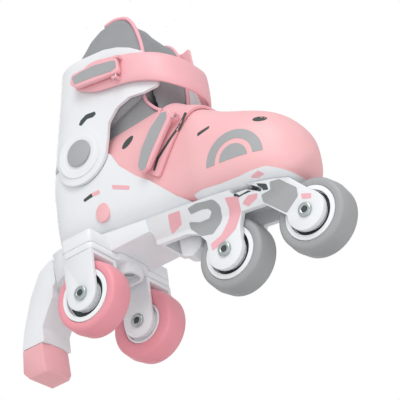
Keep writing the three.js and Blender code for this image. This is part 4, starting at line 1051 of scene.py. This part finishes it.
instep_keep = [(4, 131, 3), (22, 114, 3), (66, 172), (66, 230), (34.5, 230), (34.5, 190), (26, 180)]
instep_strap = finish_piece("instep_strap_moulded", joined(
    boot_form(lambda x: toe_inset(x) - 3.1),
    ("keep", prism(instep_keep, -60, 60)),
    ("cut", boot_form(lambda x: toe_inset(x) - 0.55)),
), "toe", pink_strap, ["instep_strap"], 0.9, 3, 40)
# The dark line beside the instep lever is painted shadow: a near-black panel where the strap's lower
# edge shades the toe shell.
strap_edge_shadow = [
    (19.4, 121.6, 0.6), (25, 130.2, 3), (37.2, 139.4, 4), (49.7, 149, 4), (58.6, 160.6, 0.6),
    (56.8, 162, 0.6), (47.8, 151, 4), (35.6, 141.6, 4), (23, 132.2, 3), (17.4, 123, 0.6),
]


def both_trees(*things):
    """One search tree over several finished objects."""
    graph = bpy.context.evaluated_depsgraph_get()
    bm = bmesh.new()
    for thing in things:
        bm.from_mesh(thing.evaluated_get(graph).to_mesh())
    return BVHTree.FromBMesh(bm)


instep_tree = both_trees(toe_shell, instep_strap)
for side, flank in ((-1, "right"), (1, "left")):
    print_and_shade_panel(f"instep_strap_shadow_{flank}", strap_edge_shadow, side, instep_tree, "toe",
                  recess_painted_shade, 0.3, 2.0, 35.5)

# ==================================================================================================
# Studio. A pale floor under the wheels, soft light from all round, and a camera that looks up at
# the skate from below its right toe.
# ==================================================================================================
floor_bm = bmesh.new()
bmesh.ops.create_grid(floor_bm, x_segments=1, y_segments=1, size=30)
floor_mesh = bpy.data.meshes.new("floor")
floor_bm.to_mesh(floor_mesh)
floor_bm.free()
floor = bpy.data.objects.new("floor", floor_mesh)
bpy.context.collection.objects.link(floor)
floor_material = bpy.data.materials.new("floor")
floor_material.use_nodes = True
tree = floor_material.node_tree
pale = tree.nodes["Principled BSDF"]
pale.inputs["Base Color"].default_value = tint(244, 244, 244)
pale.inputs["Roughness"].default_value = 0.9
clear = tree.nodes.new("ShaderNodeBsdfTransparent")
facing = tree.nodes.new("ShaderNodeNewGeometry")
path = tree.nodes.new("ShaderNodeLightPath")
either = tree.nodes.new("ShaderNodeMath")
either.operation = "MAXIMUM"
choose = tree.nodes.new("ShaderNodeMixShader")
tree.links.new(facing.outputs["Backfacing"], either.inputs[0])
unseen = tree.nodes.new("ShaderNodeMath")
unseen.operation = "MAXIMUM"
tree.links.new(path.outputs["Is Shadow Ray"], unseen.inputs[0])
tree.links.new(path.outputs["Is Diffuse Ray"], unseen.inputs[1])
tree.links.new(unseen.outputs["Value"], either.inputs[1])
tree.links.new(either.outputs["Value"], choose.inputs[0])
tree.links.new(pale.outputs["BSDF"], choose.inputs[1])
tree.links.new(clear.outputs["BSDF"], choose.inputs[2])
tree.links.new(choose.outputs["Shader"], tree.nodes["Material Output"].inputs["Surface"])
floor_mesh.materials.append(floor_material)

world = bpy.data.worlds.new("studio")
bpy.context.scene.world = world
world.use_nodes = True
sky = world.node_tree.nodes["Background"]
sky.inputs["Color"].default_value = (1, 1, 1, 1)
sky.inputs["Strength"].default_value = 0.72
seen = world.node_tree.nodes.new("ShaderNodeBackground")
seen.inputs["Color"].default_value = (1, 1, 1, 1)
seen.inputs["Strength"].default_value = 1.0
ray = world.node_tree.nodes.new("ShaderNodeLightPath")
blend_sky = world.node_tree.nodes.new("ShaderNodeMixShader")
world.node_tree.links.new(ray.outputs["Is Camera Ray"], blend_sky.inputs[0])
world.node_tree.links.new(sky.outputs["Background"], blend_sky.inputs[1])
world.node_tree.links.new(seen.outputs["Background"], blend_sky.inputs[2])
world.node_tree.links.new(blend_sky.outputs["Shader"],
                          world.node_tree.nodes["World Output"].inputs["Surface"])


def softbox(name, place, target, size, power):
    """A square area lamp at place, aimed at target."""
    lamp = bpy.data.lights.new(name, "AREA")
    lamp.size = size
    lamp.energy = power
    holder = bpy.data.objects.new(name, lamp)
    holder.location = place
    holder.rotation_euler = (Vector(target) - Vector(place)).to_track_quat("-Z", "Y").to_euler()
    bpy.context.collection.objects.link(holder)


softbox("key", (0.5, -1.0, 1.1), (0, 0, 0.14), 0.9, 9.0)
softbox("fill", (0.9, -0.9, -0.5), (0, 0, 0.12), 1.0, 4.0)
softbox("back", (-0.9, 0.9, 0.9), (0, 0, 0.14), 0.8, 5.0)

to_right = Vector((0.785, 0.606, -0.127)).normalized()
to_viewer = Vector((0.494, -0.737, -0.461)).normalized()
upwards = to_viewer.cross(to_right).normalized()
camera_place = at(741.5, -1106, -692)
forward = (-to_viewer + 0.00994 * to_right + 0.06615 * upwards).normalized()
across = forward.cross(upwards).normalized()
camera_up = across.cross(forward).normalized()
lens = bpy.data.cameras.new("camera")
lens.lens = 164.5
lens.sensor_width = 36
camera = bpy.data.objects.new("camera", lens)
turn = Matrix((across, camera_up, -forward)).transposed().to_4x4()
camera.matrix_world = Matrix.Translation(camera_place) @ turn
bpy.context.collection.objects.link(camera)
bpy.context.scene.camera = camera
bpy.context.scene.view_settings.view_transform = "Standard"
